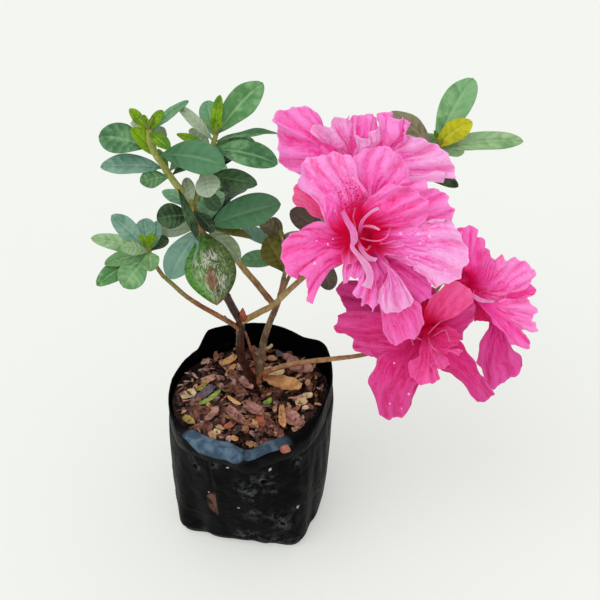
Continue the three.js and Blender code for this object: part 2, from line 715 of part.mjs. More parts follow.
const ground = groundBlock();
for (const [name, { route, radii: [foot, tip], flare, colour }] of Object.entries(LIMBS)) {
  addPiece(name, limb(route, foot, tip, { flare }).subtract(ground), colour, 0.8);
  keepOuts.push(limb(route, foot, tip, { flare, swell: GAP }));
}
for (const [name, bloom] of Object.entries(BLOOMS)) {
  addPiece(name, bloomSolid(bloom, 0), bloom.colour, 0.5);
  keepOuts.push(bloomSolid(bloom, GAP));
}
for (const [name, leafy] of Object.entries(SHOOTS)) {
  addPiece(name, shoot(leafy, 0), leafy.colour, 0.45);
  keepOuts.push(shoot(leafy, GAP));
}

export default plant;
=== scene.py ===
# %% [markdown]
# # A small azalea in flower, in a nursery bag
# The real thing is a young shrub, about 23 cm tall with its bag: thin woody stems, whorls of small
# leathery leaves and four big ruffled double blooms, all to one side. It could be sculpted by hand,
# or scattered with particles. Here every surface is worked out with numpy from the same named
# sizes as the solids, so that each leaf and petal lands where the solids carry it.

import math

import bpy
import numpy as np
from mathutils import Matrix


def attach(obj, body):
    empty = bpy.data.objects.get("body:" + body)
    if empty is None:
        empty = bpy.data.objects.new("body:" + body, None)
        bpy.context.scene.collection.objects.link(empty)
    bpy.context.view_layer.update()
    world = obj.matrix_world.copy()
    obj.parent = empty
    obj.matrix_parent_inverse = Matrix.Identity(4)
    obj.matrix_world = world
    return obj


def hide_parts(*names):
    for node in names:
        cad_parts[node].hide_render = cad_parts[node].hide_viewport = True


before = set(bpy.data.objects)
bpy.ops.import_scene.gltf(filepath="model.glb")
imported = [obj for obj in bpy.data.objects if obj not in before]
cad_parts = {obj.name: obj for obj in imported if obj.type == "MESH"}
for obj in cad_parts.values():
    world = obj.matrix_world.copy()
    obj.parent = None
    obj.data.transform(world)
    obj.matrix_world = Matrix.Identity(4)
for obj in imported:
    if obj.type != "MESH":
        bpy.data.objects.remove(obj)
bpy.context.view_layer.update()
print("solids to dress:", sorted(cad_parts))

# %% [markdown]
# ## Two ways to close a surface
# Everything on this plant is either a thin sheet (a petal, a leaf, a chip of bark) or a tube (a
# stem, a stamen, the bag's wall carried round). So two helpers are enough. One gives a sheet two
# sides that share their margin, the other closes a tube on a pole at each end. Both take many
# sheets or tubes at once, which is much faster than one Blender object for each.

# %% Sheets
MM = 0.001  # the tables below are in millimetres, and Blender's unit is the metre


def corners(number):
    """Four corner numbers of every cell in a table of vertex numbers, walked across and then along."""
    cells = [number[:-1, :-1], number[:-1, 1:], number[1:, 1:], number[1:, :-1]]
    return np.stack(cells, -1).reshape(-1, 4)


def many(count, points, quads, tris, quad_uv, side, margin):
    """The faces of one surface dealt out to count surfaces, whose vertex numbers follow each other."""
    offset = (np.arange(count) * points.shape[1])[:, None, None]
    return {
        "points": points.reshape(-1, 3),
        "quads": (quads[None] + offset).reshape(-1, 4),
        "tris": (tris[None] + offset).reshape(-1, 3),
        "quad_uv": np.tile(quad_uv, (count, 1, 1)),
        "tri_uv": np.full((len(tris) * count, 3, 2), 0.5),
        "side": np.tile(side, count),
        "margin": np.tile(margin, count),
    }


def sheets(grid, thickness):
    """Closed thin shells from sheets of points, grid[sheet, row, column, xyz].

    The face is the sheet plus half the thickness times its normal (step across x step along), the
    back is the sheet minus as much, and the thickness is nothing on the margin, which they share.
    """
    count, rows, columns, _ = grid.shape
    normal = np.cross(np.gradient(grid, axis=2), np.gradient(grid, axis=1))
    normal /= np.linalg.norm(normal, axis=-1, keepdims=True) + 1e-12
    half = np.zeros((rows, columns, 1))
    half[1:-1, 1:-1] = 0.5 * thickness
    face = (grid + normal * half).reshape(count, -1, 3)
    back = (grid - normal * half)[:, 1:-1, 1:-1].reshape(count, -1, 3)
    points = np.concatenate([face, back], 1)
    front = np.arange(rows * columns).reshape(rows, columns)
    behind = front.copy()
    behind[1:-1, 1:-1] = rows * columns + np.arange((rows - 2) * (columns - 2)).reshape(rows - 2, -1)
    quads = np.concatenate([corners(front), corners(behind)[:, ::-1]])
    across, along = np.meshgrid(np.linspace(0, 1, columns), np.linspace(0, 1, rows))
    flat = np.stack([across.ravel(), along.ravel()], -1)
    inner = np.stack([across[1:-1, 1:-1].ravel(), along[1:-1, 1:-1].ravel()], -1)
    uv = np.concatenate([flat, inner])[quads]
    side = np.repeat([0, 1], len(quads) // 2)
    on_margin = np.zeros(points.shape[1], bool)
    on_margin[front[half[..., 0] == 0]] = True
    return many(count, points, quads, np.zeros((0, 3), int), uv, side, on_margin)


print("a sheet of 4 by 5 points:", len(sheets(np.zeros((1, 4, 5, 3)), 1)["quads"]), "quads")


# %% Tubes
def tubes(grid):
    """Closed tubes from rings of points, grid[tube, ring, place, xyz]: the rings are joined side by
    side, and each end is closed by a fan round the mean of its last ring."""
    count, rows, places, _ = grid.shape
    poles = grid[:, [0, -1]].mean(2)
    points = np.concatenate([grid.reshape(count, -1, 3), poles], 1)
    number = np.arange(rows * places).reshape(rows, places)
    round_number = np.hstack([number, number[:, :1]])
    quads = corners(round_number)
    across, along = np.meshgrid(np.linspace(0, 1, places + 1), np.linspace(0, 1, rows))
    cut_open = corners(np.arange(across.size).reshape(across.shape))
    quad_uv = np.stack([across.ravel(), along.ravel()], -1)[cut_open]
    foot, tip = rows * places, rows * places + 1
    ring, ending = round_number[0], round_number[-1]
    fans = np.concatenate([
        np.stack([np.full(places, foot), ring[1:], ring[:-1]], -1),
        np.stack([np.full(places, tip), ending[:-1], ending[1:]], -1),
    ])
    nowhere = np.zeros(points.shape[1], bool)
    return many(count, points, quads, fans, quad_uv, np.zeros(len(quads), int), nowhere)


print("a tube of 3 rings of 8 points:", len(tubes(np.zeros((1, 3, 8, 3)))["quads"]), "quads")


# %% One Blender object from many surfaces
def piece(name, parts, finishes, nodes=(), values=None):
    """One Blender object from several parts, in metres. finishes[0] covers the faces of the sheets
    and all tubes, finishes[1] the backs. The margins of the sheets are sharp edges, so that the
    two sides don't shade into each other. values are extra numbers for the points, by name."""
    points = np.concatenate([part["points"] for part in parts]) * MM
    starts = np.cumsum([0] + [len(part["points"]) for part in parts])
    quads = np.concatenate([part["quads"] + start for part, start in zip(parts, starts)])
    tris = np.concatenate([part["tris"] + start for part, start in zip(parts, starts)])
    uv = np.concatenate([part["quad_uv"].reshape(-1, 2) for part in parts]
                        + [part["tri_uv"].reshape(-1, 2) for part in parts])
    loops = np.concatenate([quads.ravel(), tris.ravel()])
    sizes = np.concatenate([np.full(len(quads), 4), np.full(len(tris), 3)])
    side = np.concatenate([part["side"] for part in parts] + [np.zeros(len(tris), int)])
    mesh = bpy.data.meshes.new(name)
    mesh.vertices.add(len(points))
    mesh.vertices.foreach_set("co", points.ravel())
    mesh.loops.add(len(loops))
    mesh.loops.foreach_set("vertex_index", loops)
    mesh.polygons.add(len(sizes))
    mesh.polygons.foreach_set("loop_start", np.cumsum(sizes) - sizes)
    mesh.polygons.foreach_set("material_index", np.minimum(side, len(finishes) - 1))
    mesh.polygons.foreach_set("use_smooth", np.ones(len(sizes), bool))
    mesh.uv_layers.new(name="UVMap").data.foreach_set("uv", uv.ravel())
    for label, numbers in (values or {}).items():
        mesh.attributes.new(label, "FLOAT", "POINT").data.foreach_set("value", numbers.ravel())
    for finish in finishes:
        mesh.materials.append(finish)
    mesh.update(calc_edges=True)
    ends = np.zeros(2 * len(mesh.edges), np.int32)
    mesh.edges.foreach_get("vertices", ends)
    sharp = np.concatenate([part["margin"] for part in parts])[ends.reshape(-1, 2)].all(1)
    mesh.attributes.new("sharp_edge", "BOOLEAN", "EDGE").data.foreach_set("value", sharp)
    made = bpy.data.objects.new(name, mesh)
    bpy.context.scene.collection.objects.link(made)
    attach(made, "root")
    if nodes:
        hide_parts(*nodes)
    print(f"{name}: {len(quads) * 2 + len(tris)} triangles")
    return made


# %% [markdown]
# ## Shader sums
# A finish is a small sum of patterns. Written as node links it is hard to read, so one class wraps
# a socket and lets Python's own + - * / work on it, and one method makes every other node.

# %% A socket that takes part in sums
class Wire:
    """A shader socket that takes part in Python sums. Each operator adds one Math node."""

    def __init__(self, finish, socket):
        self.finish = finish
        self.socket = socket

    def math(self, operation, first, second=0.0):
        return self.finish.node("ShaderNodeMath", {"operation": operation}, {0: first, 1: second})

    def __add__(self, other):
        return self.math("ADD", self, other)

    def __sub__(self, other):
        return self.math("SUBTRACT", self, other)

    def __rsub__(self, other):
        return self.math("SUBTRACT", other, self)

    def __mul__(self, other):
        return self.math("MULTIPLY", self, other)

    def __pow__(self, other):
        return self.math("POWER", self, other)

    def __abs__(self):
        return self.math("ABSOLUTE", self)

    __radd__ = __add__
    __rmul__ = __mul__


print("sums of sockets now make Math nodes")


# %% A finish and its patterns
class Finish:
    """A material under construction: its nodes, and the places where patterns are read."""

    def __init__(self, name, **constants):
        self.material = bpy.data.materials.new(name)
        self.material.use_nodes = True
        self.tree = self.material.node_tree
        self.shader = self.tree.nodes["Principled BSDF"]
        self.set(**constants)

    def feed(self, socket, value):
        if isinstance(value, Wire):
            self.tree.links.new(value.socket, socket)
        else:
            socket.default_value = value

    def node(self, kind, settings=None, sockets=None, output=0):
        """Any node: its settings are set first, then each socket gets a value or a link."""
        made = self.tree.nodes.new(kind)
        for name, value in (settings or {}).items():
            setattr(made, name, value)
        for name, value in (sockets or {}).items():
            self.feed(made.inputs[name], value)
        return Wire(self, made.outputs[output])

    def set(self, **values):
        """Gives the shader's own sockets values or links: base_color sets Base Color, and so on."""
        for name, value in values.items():
            label = name.replace("_", " ").title().replace("Ior", "IOR")
            self.feed(self.shader.inputs[label], value)

    def place(self, which="Object", scale=(1, 1, 1)):
        """Object or UV coordinates, multiplied by scale."""
        at = self.node("ShaderNodeTexCoord", output=which)
        return self.node("ShaderNodeMapping", None, {"Vector": at, "Scale": scale})

    def part(self, vector, axis):
        """One number of a vector: X, Y or Z."""
        return self.node("ShaderNodeSeparateXYZ", None, {0: vector}, output=axis)

    def noise(self, at, scale=1.0, detail=3.0, roughness=0.55, distortion=0.0, fourth=None):
        """Soft noise from about 0.3 to 0.7, moved along a fourth coordinate where one is given."""
        sockets = {"Vector": at, "Scale": scale, "Detail": detail, "Roughness": roughness,
                   "Distortion": distortion}
        if fourth is None:
            return self.node("ShaderNodeTexNoise", None, sockets)
        sockets["W"] = fourth
        return self.node("ShaderNodeTexNoise", {"noise_dimensions": "4D"}, sockets)

    def cells(self, at, scale):
        """Distance from the middle of the nearest of many random cells, 0 in its middle."""
        return self.node("ShaderNodeTexVoronoi", None, {"Vector": at, "Scale": scale})

    def rise(self, value, low, high):
        """0 below low, 1 above high, and an eased step between them."""
        sockets = {"Value": value, "From Min": low, "From Max": high}
        return self.node("ShaderNodeMapRange", {"interpolation_type": "SMOOTHSTEP"}, sockets)

    def mix(self, share, first, second):
        """The first colour where share is 0, and the second where it is 1."""
        sockets = {0: share, 6: first, 7: second}
        return self.node("ShaderNodeMix", {"data_type": "RGBA"}, sockets, output=2)

    def bump(self, height, distance, strength=1.0, over=None):
        """A normal from a height pattern, distance in metres for a height of 1."""
        sockets = {"Height": height, "Distance": distance, "Strength": strength}
        if over is not None:
            sockets["Normal"] = over
        return self.node("ShaderNodeBump", None, sockets)

    def sine(self, value):
        """The sine of a value, in radians."""
        return self.node("ShaderNodeMath", {"operation": "SINE"}, {0: value})

    def value_of(self, name):
        """A number that the piece stores for its points."""
        return self.node("ShaderNodeAttribute", {"attribute_name": name}, output="Fac")


def paint(red, green, blue):
    """A colour from the 0 to 255 numbers of a screen, as the linear numbers of a shader."""
    share = np.array([red, green, blue]) / 255
    linear = np.where(share <= 0.04045, share / 12.92, ((share + 0.055) / 1.055) ** 2.4)
    return (*[float(value) for value in linear], 1.0)


def paints(*colours):
    return [paint(*colour) for colour in colours]


print("middle grey of a screen is", round(paint(128, 128, 128)[0], 3), "in a shader")

# %% [markdown]
# ## Camera, floor and light
# The plant was seen from a little above, with a fairly long lens, in the soft light of an overcast
# sky. A bright even world gives that light, and a sun with a very wide disc adds the faint shadow
# to the right of the bag. The floor glows a little of itself, like a lit table, so that the shadows
# on it stay pale. Area lamps would do too, but they fade across the floor.

# %% Camera, floor and light
CAMERA_AT = (25.6, -409.0, 443.1)
CAMERA_DOWN = 37  # degrees below the horizon
FOCUS = 1073  # distance to the picture plane, in pixels
PICTURE = 600  # width of the picture, in pixels
FILM_WIDTH = 36  # mm
SKY_STRENGTH = 0.83
SUN_STRENGTH = 0.9
SUN_DISC = 58  # degrees across, for a soft shadow
FLOOR_RADIUS = 4  # metres
FLOOR_SIDES = 96
FLOOR_LEVEL = -0.0002  # metres, a hair under the bag
FLOOR_GLOW = 0.385

scene = bpy.context.scene
camera = bpy.data.objects.new("camera", bpy.data.cameras.new("camera"))
camera.data.sensor_width = FILM_WIDTH
camera.data.lens = FOCUS / PICTURE * FILM_WIDTH
camera.data.clip_start = 0.01
camera.location = [value * MM for value in CAMERA_AT]
camera.rotation_euler = (math.radians(90 - CAMERA_DOWN), 0, 0)
scene.collection.objects.link(camera)
scene.camera = camera
scene.view_settings.view_transform = "Standard"

world = bpy.data.worlds.new("overcast")
world.use_nodes = True
sky = world.node_tree.nodes["Background"]
sky.inputs["Color"].default_value = (0.97, 0.985, 1.0, 1)
sky.inputs["Strength"].default_value = SKY_STRENGTH
scene.world = world

sun = bpy.data.objects.new("sun", bpy.data.lights.new("sun", "SUN"))
sun.data.energy = SUN_STRENGTH
sun.data.angle = math.radians(SUN_DISC)
sun.data.color = (1, 0.985, 0.95)
sun.rotation_euler = (math.radians(20), math.radians(-26), 0)
scene.collection.objects.link(sun)

floor_mesh = bpy.data.meshes.new("floor")
turn = np.linspace(0, 2 * np.pi, FLOOR_SIDES, endpoint=False)
level = np.full(FLOOR_SIDES, FLOOR_LEVEL)
ring = np.stack([FLOOR_RADIUS * np.cos(turn), FLOOR_RADIUS * np.sin(turn), level], -1)
floor_mesh.from_pydata(ring.tolist(), [], [list(range(FLOOR_SIDES))])
floor = bpy.data.objects.new("floor", floor_mesh)
scene.collection.objects.link(floor)
floor_finish = Finish("pale floor", roughness=1.0, specular_ior_level=0.0,
                      emission_color=(0.93, 0.95, 0.91, 1), emission_strength=FLOOR_GLOW)
grain = floor_finish.noise(floor_finish.place(), 600, 2)
floor_finish.set(base_color=floor_finish.mix(grain, paint(190, 191, 186), paint(193, 194, 189)))
floor_mesh.materials.append(floor_finish.material)
print("lens", round(camera.data.lens, 1), "mm")


# %% [markdown]
# ## Eased steps, directions and smooth routes
# The solids use three small tools of shape, and the dressing uses the same three: an eased step, a
# direction from a compass heading and a rise, and a smooth curve through a few points.

# %% Tools of shape
def smoothstep(value, low, high):
    """0 below low, 1 above high, and t squared times (3 minus 2 t) between them."""
    t = np.clip((value - low) / (high - low), 0, 1)
    return t * t * (3 - 2 * t)


def lerp(first, second, share):
    return first + (second - first) * share


def unit(vectors):
    return vectors / np.linalg.norm(vectors, axis=-1, keepdims=True)


def direction(heading, rise):
    """Cosine of rise times (cosine, sine of heading) in the plane, and sine of rise upwards."""
    east, north = math.cos(math.radians(heading)), math.sin(math.radians(heading))
    level = math.cos(math.radians(rise))
    return np.array([level * east, level * north, math.sin(math.radians(rise))])


def smooth_route(points, count):
    """Evenly spaced points on a Catmull-Rom curve: between two points of the route it is the cubic
    that leaves each of them along half the step between its neighbours."""
    given = np.asarray(points, float)
    given = np.vstack([2 * given[0] - given[1], given, 2 * given[-1] - given[-2]])
    before, here, there, after = given[:-3], given[1:-2], given[2:-1], given[3:]
    leave, arrive = 0.5 * (there - before), 0.5 * (after - here)
    t = np.linspace(0, 1, 40, endpoint=False)[None, :, None]
    here, there, leave, arrive = (part[:, None] for part in (here, there, leave, arrive))
    cubic = ((2 * t**3 - 3 * t**2 + 1) * here + (t**3 - 2 * t**2 + t) * leave
             + (3 * t**2 - 2 * t**3) * there + (t**3 - t**2) * arrive)
    fine = np.vstack([cubic.reshape(-1, 3), given[-2]])
    walked = np.concatenate([[0], np.cumsum(np.linalg.norm(np.diff(fine, axis=0), axis=1))])
    wanted = np.linspace(0, walked[-1], count)
    return np.stack([np.interp(wanted, walked, fine[:, axis]) for axis in range(3)], -1)


print("a route of 3 points:", smooth_route([[0, 0, 0], [0, 0, 5], [4, 0, 9]], 4).round(1).tolist())


# %% Rings round a route
def tube_grid(centres, radii, sides):
    """Rings round a line of centres: centre + radius x (cos a . side + sin a . over), where side is
    square to the line and to the axis that the line follows least, and over to both."""
    tangent = unit(np.gradient(centres, axis=0))
    least = np.eye(3)[np.argmin(np.abs(tangent.mean(0)))]
    over = unit(np.cross(tangent, least))
    side = np.cross(over, tangent)
    angle = np.linspace(0, 2 * np.pi, sides, endpoint=False)[None, :, None]
    radii = np.broadcast_to(np.asarray(radii, float).reshape(len(centres), -1), (len(centres), sides))
    around = np.cos(angle) * side[:, None] + np.sin(angle) * over[:, None]
    return centres[:, None] + radii[..., None] * around


print("three rings of 6:", tube_grid(np.outer([0, 5, 10], [0, 0, 1.0]), np.ones(3), 6).shape)

# %% [markdown]
# ## The nursery bag
# The bag is a tube of thin black polythene with a folded foot. Its film is creased by handling, the
# front of its rim is rolled outwards, with the sky that it reflects painted into its colour, and it has
# small round drain holes. A cloth simulation could crumple it, but its creases have known places, so
# the wall is one profile carried round by compass angle, from the foot up, over the rim and down
# inside, plus the creases.

# %% Outline of the bag
FILM = 0.9
CUFF_DROP = 13
CUFF_WIDTH = 5.5
CUFF_CENTRE = 268
CUFF_HALF_ANGLE = 75
BAG_COLUMNS = 420
MEAN_RADIUS = 40  # of the wall, so that a degree of compass is 0.7 mm of film
SOIL_TOP = 72
# compass angle, foot radius, rim radius, rim height
BAG_OUTLINE = np.array([
    [0, 38, 42, 87], [28, 39, 43, 91], [50, 39, 42, 86.5], [90, 39, 41, 89], [124, 39, 39.5, 90.5],
    [136, 39, 40.5, 80.5], [165, 40, 41, 77.5], [198, 42, 41.5, 73.5], [213, 44.5, 41, 75],
    [231, 37.5, 41, 80.5], [257, 34.5, 41.5, 81], [270, 34.5, 42, 77], [285, 37.5, 42, 81],
    [305, 44, 41.5, 81.5], [325, 39, 41, 83], [345, 37.5, 41, 84], [360, 38, 42, 87],
])


def bag_at(compass):
    """Foot radius, rim radius and rim height, eased between the rows of the outline."""
    angle = np.mod(compass, 360)
    row = np.clip(np.searchsorted(BAG_OUTLINE[:, 0], angle, side="right") - 1, 0, len(BAG_OUTLINE) - 2)
    here, after = BAG_OUTLINE[row], BAG_OUTLINE[row + 1]
    eased = smoothstep((angle - here[..., 0]) / (after[..., 0] - here[..., 0]), 0, 1)[..., None]
    return np.moveaxis(lerp(here[..., 1:], after[..., 1:], eased), -1, 0)


def cuff_at(compass):
    """How far the rim is rolled outwards: 1 in front, eased to 0 at 75 degrees from there."""
    away = np.abs(np.mod(compass - CUFF_CENTRE + 540, 360) - 180)
    return 1 - smoothstep(away, 0.45 * CUFF_HALF_ANGLE, CUFF_HALF_ANGLE)


def wall_radius(compass, level):
    """From the foot radius to the rim radius over the lower 4/5 of the height, 1.2 mm fuller at
    half height, and 2.2 mm drawn in at the foot."""
    foot, rim, _ = bag_at(compass)
    drawn_in = 2.2 * (1 - smoothstep(level, 0, 0.06))
    return lerp(foot, rim, np.minimum(1, 1.25 * level)) + 1.2 * np.sin(np.pi * level) - drawn_in


def inner_radius(compass, height):
    return wall_radius(compass, np.minimum(1, height / bag_at(compass)[2])) - FILM


def polar(compass, radius, height):
    angle = np.radians(compass)
    return np.stack(np.broadcast_arrays(radius * np.cos(angle), radius * np.sin(angle), height), -1)


def ring_wave(compass, seed, counts=(3, 5, 8, 13, 21, 34)):
    """A smooth random wave round the compass: a sum of sines that close on themselves, each of a
    height that falls with its count."""
    random = np.random.default_rng(seed)
    phases = random.uniform(0, 2 * np.pi, len(counts))
    return sum(np.sin(np.radians(count * compass) + phase) / count**0.6
               for count, phase in zip(counts, phases))


print("rim of the bag:", BAG_OUTLINE[:, 3].min(), "to", BAG_OUTLINE[:, 3].max(), "mm high")

# %% Creases of the film
CREASES = 90
random = np.random.default_rng(5)
crease_at = random.uniform(0, 360, CREASES)[:, None, None]
crease_lean = random.normal(0, 0.16, CREASES)[:, None, None]  # degrees per mm of height
crease_width = random.uniform(0.9, 3.4, CREASES)[:, None, None]
crease_height = (random.uniform(0.12, 0.5, CREASES) * random.choice([-1, 1], CREASES))[:, None, None]
crease_middle = random.uniform(0, 80, CREASES)[:, None, None]
crease_reach = random.uniform(6, 26, CREASES)[:, None, None]


def film_relief(compass, height):
    """Height of the creases over the smooth film: the sum of amplitude x exp(-(distance from the
    crease's leaning line / width) squared) x exp(-(height from its middle / reach) squared)."""
    line = crease_at + crease_lean * (height - 40)
    away = 0.7 * (np.mod(compass - line + 180, 360) - 180)
    ridge = crease_height * np.exp(-(away / crease_width) ** 2)
    relief = (ridge * np.exp(-((height - crease_middle) / crease_reach) ** 2)).sum(0)
    slack = 0.35 * ring_wave(compass + 0.9 * height, 3, (4, 7, 11)) * np.sin(height / 13)
    return relief + slack


compass = np.linspace(0, 360, BAG_COLUMNS, endpoint=False)[None, :]
rim = bag_at(compass)[2] + 0.45 * ring_wave(compass, 9)
cuff = cuff_at(compass)


def share(count, start=0.0, end=1.0):
    return np.linspace(start, end, count)[:, None]


base = share(10, 0.02, 0.97)
wall_height = share(84, 0.0, 1.0) * (rim - CUFF_DROP - 0.4)
turn_out = share(6)
hang = share(20)
over = share(5)
crest = share(9)
inside_drop = share(34) ** 1.3
shoulder = wall_radius(compass, 0.95)  # where the film leaves the wall to roll outwards
rolled = cuff * CUFF_WIDTH
outline = [
    (base * wall_radius(compass, 0 * compass), 0.25 * np.sin(np.pi * base) ** 2 + 0 * compass),
    (wall_radius(compass, wall_height / rim), wall_height),
    (shoulder + rolled * lerp(0.02, 0.74, turn_out**0.7),
     rim - CUFF_DROP + 1.6 * turn_out**2 - 0.5 * np.sin(np.pi * turn_out) * cuff),
    (shoulder + rolled * (lerp(0.8, 1, hang) + 0.10 * np.sin(np.pi * hang)),
     rim - lerp(CUFF_DROP - 1.6, 2, hang)),
    (shoulder + rolled * (1 - 0.22 * over**2), rim - 2 * (1 - over) ** 1.5),
    (lerp(shoulder + rolled * 0.78, inner_radius(compass, rim), crest),
     rim + 0.35 * np.sin(np.pi * crest) - 1.1 * cuff * crest),
    (inner_radius(compass, rim - (rim - 60) * inside_drop), rim - 1.1 * cuff - (rim - 61) * inside_drop),
    (inner_radius(compass, FILM + 0 * compass) * share(5, 1, 0.02), FILM + 0 * compass * share(5)),
]
names = ["base", "wall", "turn", "cuff", "over", "crest", "inside", "floor"]
radius = np.concatenate([np.broadcast_to(part[0], (len(part[0]), BAG_COLUMNS)) for part in outline])
height = np.concatenate([np.broadcast_to(part[1], (len(part[1]), BAG_COLUMNS)) for part in outline])
zone = np.concatenate([[name] * len(part[0]) for name, part in zip(names, outline)])[:, None]
creased = np.select([zone == "base", zone == "wall", zone == "inside", zone == "floor"],
                    [0.0, smoothstep(height, 1, 9), 0.9, 0.0], 0.8)
radius = radius + creased * film_relief(compass, height)
height = np.maximum(height, 0)
print("bag profile:", radius.shape[0], "rings of", BAG_COLUMNS)

# %% Drain holes, scuffs with painted glints, a tear and the painted sky in the cuff
# compass angle, height and radius of each small punched hole
HOLES = np.array([
    [231.2, 56.0, 1.6], [280.2, 54.2, 1.8], [294.0, 19.5, 1.5], [20, 45, 1.8], [75, 52, 1.8],
    [110, 30, 1.8], [150, 50, 1.8], [185, 28, 1.8], [332, 27, 1.5], [50, 20, 1.8],
])
# the same, and half width in mm, for grey patches of crumpled film: partly scuffed grey by
# handling, partly painted glints where the crumpled film catches the light
SCUFF_AND_GLINT_MARKS = np.array([
    [231, 57, 3.4], [276, 53, 6.5], [268, 49, 5.0], [282, 56, 3.6], [271, 42, 3.4], [288, 47, 2.2],
    [306, 62, 3.6], [294, 20, 5.5], [288, 26, 4.0], [272, 28, 4.5], [273, 8, 5.0], [289, 5, 4.5],
    [303, 6, 4.0], [263, 9, 4.0], [304, 30, 2.6], [310, 28, 2.2], [332, 28, 3.0], [247, 63, 3.0],
    [60, 40, 5.0], [120, 22, 5.0], [170, 50, 4.0], [200, 14, 4.0], [30, 12, 4.0], [90, 60, 3.0],
])
# the same, for white specks
SPECKS = np.array([[256.5, 63.5, 0.7], [285, 62.5, 0.9], [304.2, 30.2, 0.8], [240, 40, 0.5],
                   [262, 33, 0.5]])
TEAR = (240.8, 31.5)  # compass angle and height
# where the cuff's colour carries a painted reflection of the blue sky: on its top, and on a band
# that reaches down from its edge and stands for a flat facet of film hanging over it, a facet that
# is only painted, not shaped. Each comes up between the first two compass angles and goes between
# the last two
SKY_SHOWS = (226, 232, 293, 299)
PAINTED_FACET_SHOWS = (229, 241, 262, 270)
PAINTED_FACET_DEPTH = 5.2
# the painted sky reflection falls to a quarter at this dark nick, and to 0.72 of itself right of it
REFLECTION_NICK = 268.5  # compass angle of a dark nick in the cuff, with a dimmer fold to its right


def from_marks(marks):
    """Distance of each point of the wall from each mark, as a share of the mark's own size."""
    at, level, size = (marks[:, column][:, None, None] for column in range(3))
    across = np.radians(np.mod(compass - at + 180, 360) - 180) * MEAN_RADIUS
    return np.sqrt(across**2 + (height - level) ** 2) / size


def shows(compass, start, full, fading, gone):
    """0, then eased up to 1 from start to full, and down to 0 again from fading to gone."""
    return smoothstep(compass, start, full) * (1 - smoothstep(compass, fading, gone))


from_hole = from_marks(HOLES)
on_wall = np.isin(zone, ["wall", "turn", "cuff"])
in_hole = (1 - smoothstep(from_hole, 0.55, 1.0)).max(0) * on_wall
round_hole = np.exp(-((from_hole - 1.15) / 0.28) ** 2).max(0) * on_wall
pale_patches = np.exp(-from_marks(SCUFF_AND_GLINT_MARKS) ** 2).sum(0).clip(0, 1) * on_wall
specked = (1 - smoothstep(from_marks(SPECKS), 0.6, 1.0)).max(0) * on_wall
# the tear is half an oval, 19 mm tall and 6 mm wide, whose straight side is on the right
tear_x = np.radians(compass - TEAR[0]) * MEAN_RADIUS
tear_y = height - TEAR[1]
torn = smoothstep(3.4 - tear_x, 0, 0.8) * smoothstep(9.5 - np.hypot(1.5 * (tear_x - 3), tear_y), 0, 0.9)
torn = torn * on_wall
radius = radius - 0.85 * in_hole + 0.22 * round_hole - 0.5 * torn
radius = radius + 0.35 * pale_patches * np.sin(1.9 * height + 0.4 * compass) * np.sin(0.9 * compass - 1.1 * height)
# painted reflection of the sky: on the crest and the top of the roll, and down over the painted facet
below_edge = rim - 2 - height
painted_facet_depth = PAINTED_FACET_DEPTH * shows(compass, *PAINTED_FACET_SHOWS)
on_painted_facet = 1 - smoothstep(below_edge, painted_facet_depth - 0.6, painted_facet_depth)
painted_sky_mask = np.select([zone == "crest", zone == "over", zone == "cuff"], [1.0, 1.0, 0.9 * on_painted_facet], 0.0)
painted_sky_mask = painted_sky_mask * shows(compass, *SKY_SHOWS)
reflection_nicked = 1 - 0.75 * np.exp(-((compass - REFLECTION_NICK) / 1.1) ** 2)
painted_sky_mask = painted_sky_mask * reflection_nicked * lerp(1, 0.72, compass > REFLECTION_NICK + 0.5)
seen = {"hole": in_hole, "hole_rim_glint": round_hole, "painted_sky_reflection": painted_sky_mask, "pale_patches": pale_patches,
        "specked": specked, "torn": torn}
on_poles = np.zeros(2)
stored = {name: np.concatenate([values.ravel(), on_poles]) for name, values in seen.items()}
print("holes, scuffs and specks:", len(HOLES), len(SCUFF_AND_GLINT_MARKS), len(SPECKS))

# %% Skin of the bag
film = Finish("black polythene film", specular_ior_level=0.03)
at = film.place()
dust = film.rise(film.noise(at, 55, 5, 0.6), 0.56, 0.74)
specks = film.rise(film.noise(at, 900, 2, 0.5), 0.72, 0.80)
smears = film.rise(film.noise(film.place(scale=(60, 60, 190)), 1, 4, 0.62, 0.6), 0.62, 0.80)
low = film.rise(film.part(at, "Z"), 0.04, 0.0)
# grey patches: partly scuffs, partly painted glints of crumpled film
rubbed_and_glinting = film.rise(film.noise(at, 300, 5, 0.75, 0.2), 0.44, 0.68) * film.value_of("pale_patches")
dusty = dust * 0.10 + specks * 0.25 + smears * (low * 0.4 + 0.10)
colour = film.mix(dusty, paint(4, 4, 5), paint(84, 82, 80))
colour = film.mix(rubbed_and_glinting * 0.65, colour, paint(92, 94, 96))
mottled = film.rise(film.noise(at, 150, 3, 0.6, 0.5), 0.42, 0.62)
# painted reflection of the blue sky in the cuff
painted_sky_blue = film.mix(mottled, paint(62, 82, 100), paint(92, 114, 132))
colour = film.mix(film.value_of("painted_sky_reflection"), colour, painted_sky_blue)
# a pale grey ring round each hole is a painted glint of the crumpled film round it
colour = film.mix(film.value_of("hole_rim_glint") * mottled * 0.35, colour, paint(120, 118, 114))
colour = film.mix(film.value_of("torn"), colour, film.mix(mottled, paint(40, 28, 24), paint(98, 70, 58)))
colour = film.mix(film.value_of("hole"), colour, paint(5, 4, 4))
colour = film.mix(film.value_of("specked"), colour, paint(196, 194, 188))
wrinkles = film.noise(film.place(scale=(420, 420, 130)), 1, 4, 0.6, 0.8)
crumple = film.noise(at, 130, 3, 0.5, 0.4)
film.set(base_color=colour, roughness=dusty * 0.3 + crumple * 0.16 + 0.38,
         normal=film.bump(crumple, 0.0012, 0.7, film.bump(wrinkles, 0.0003, 0.8)))
piece("nursery_bag", [tubes(polar(compass, radius, height)[None])], [film.material], ["bag"],
      stored)

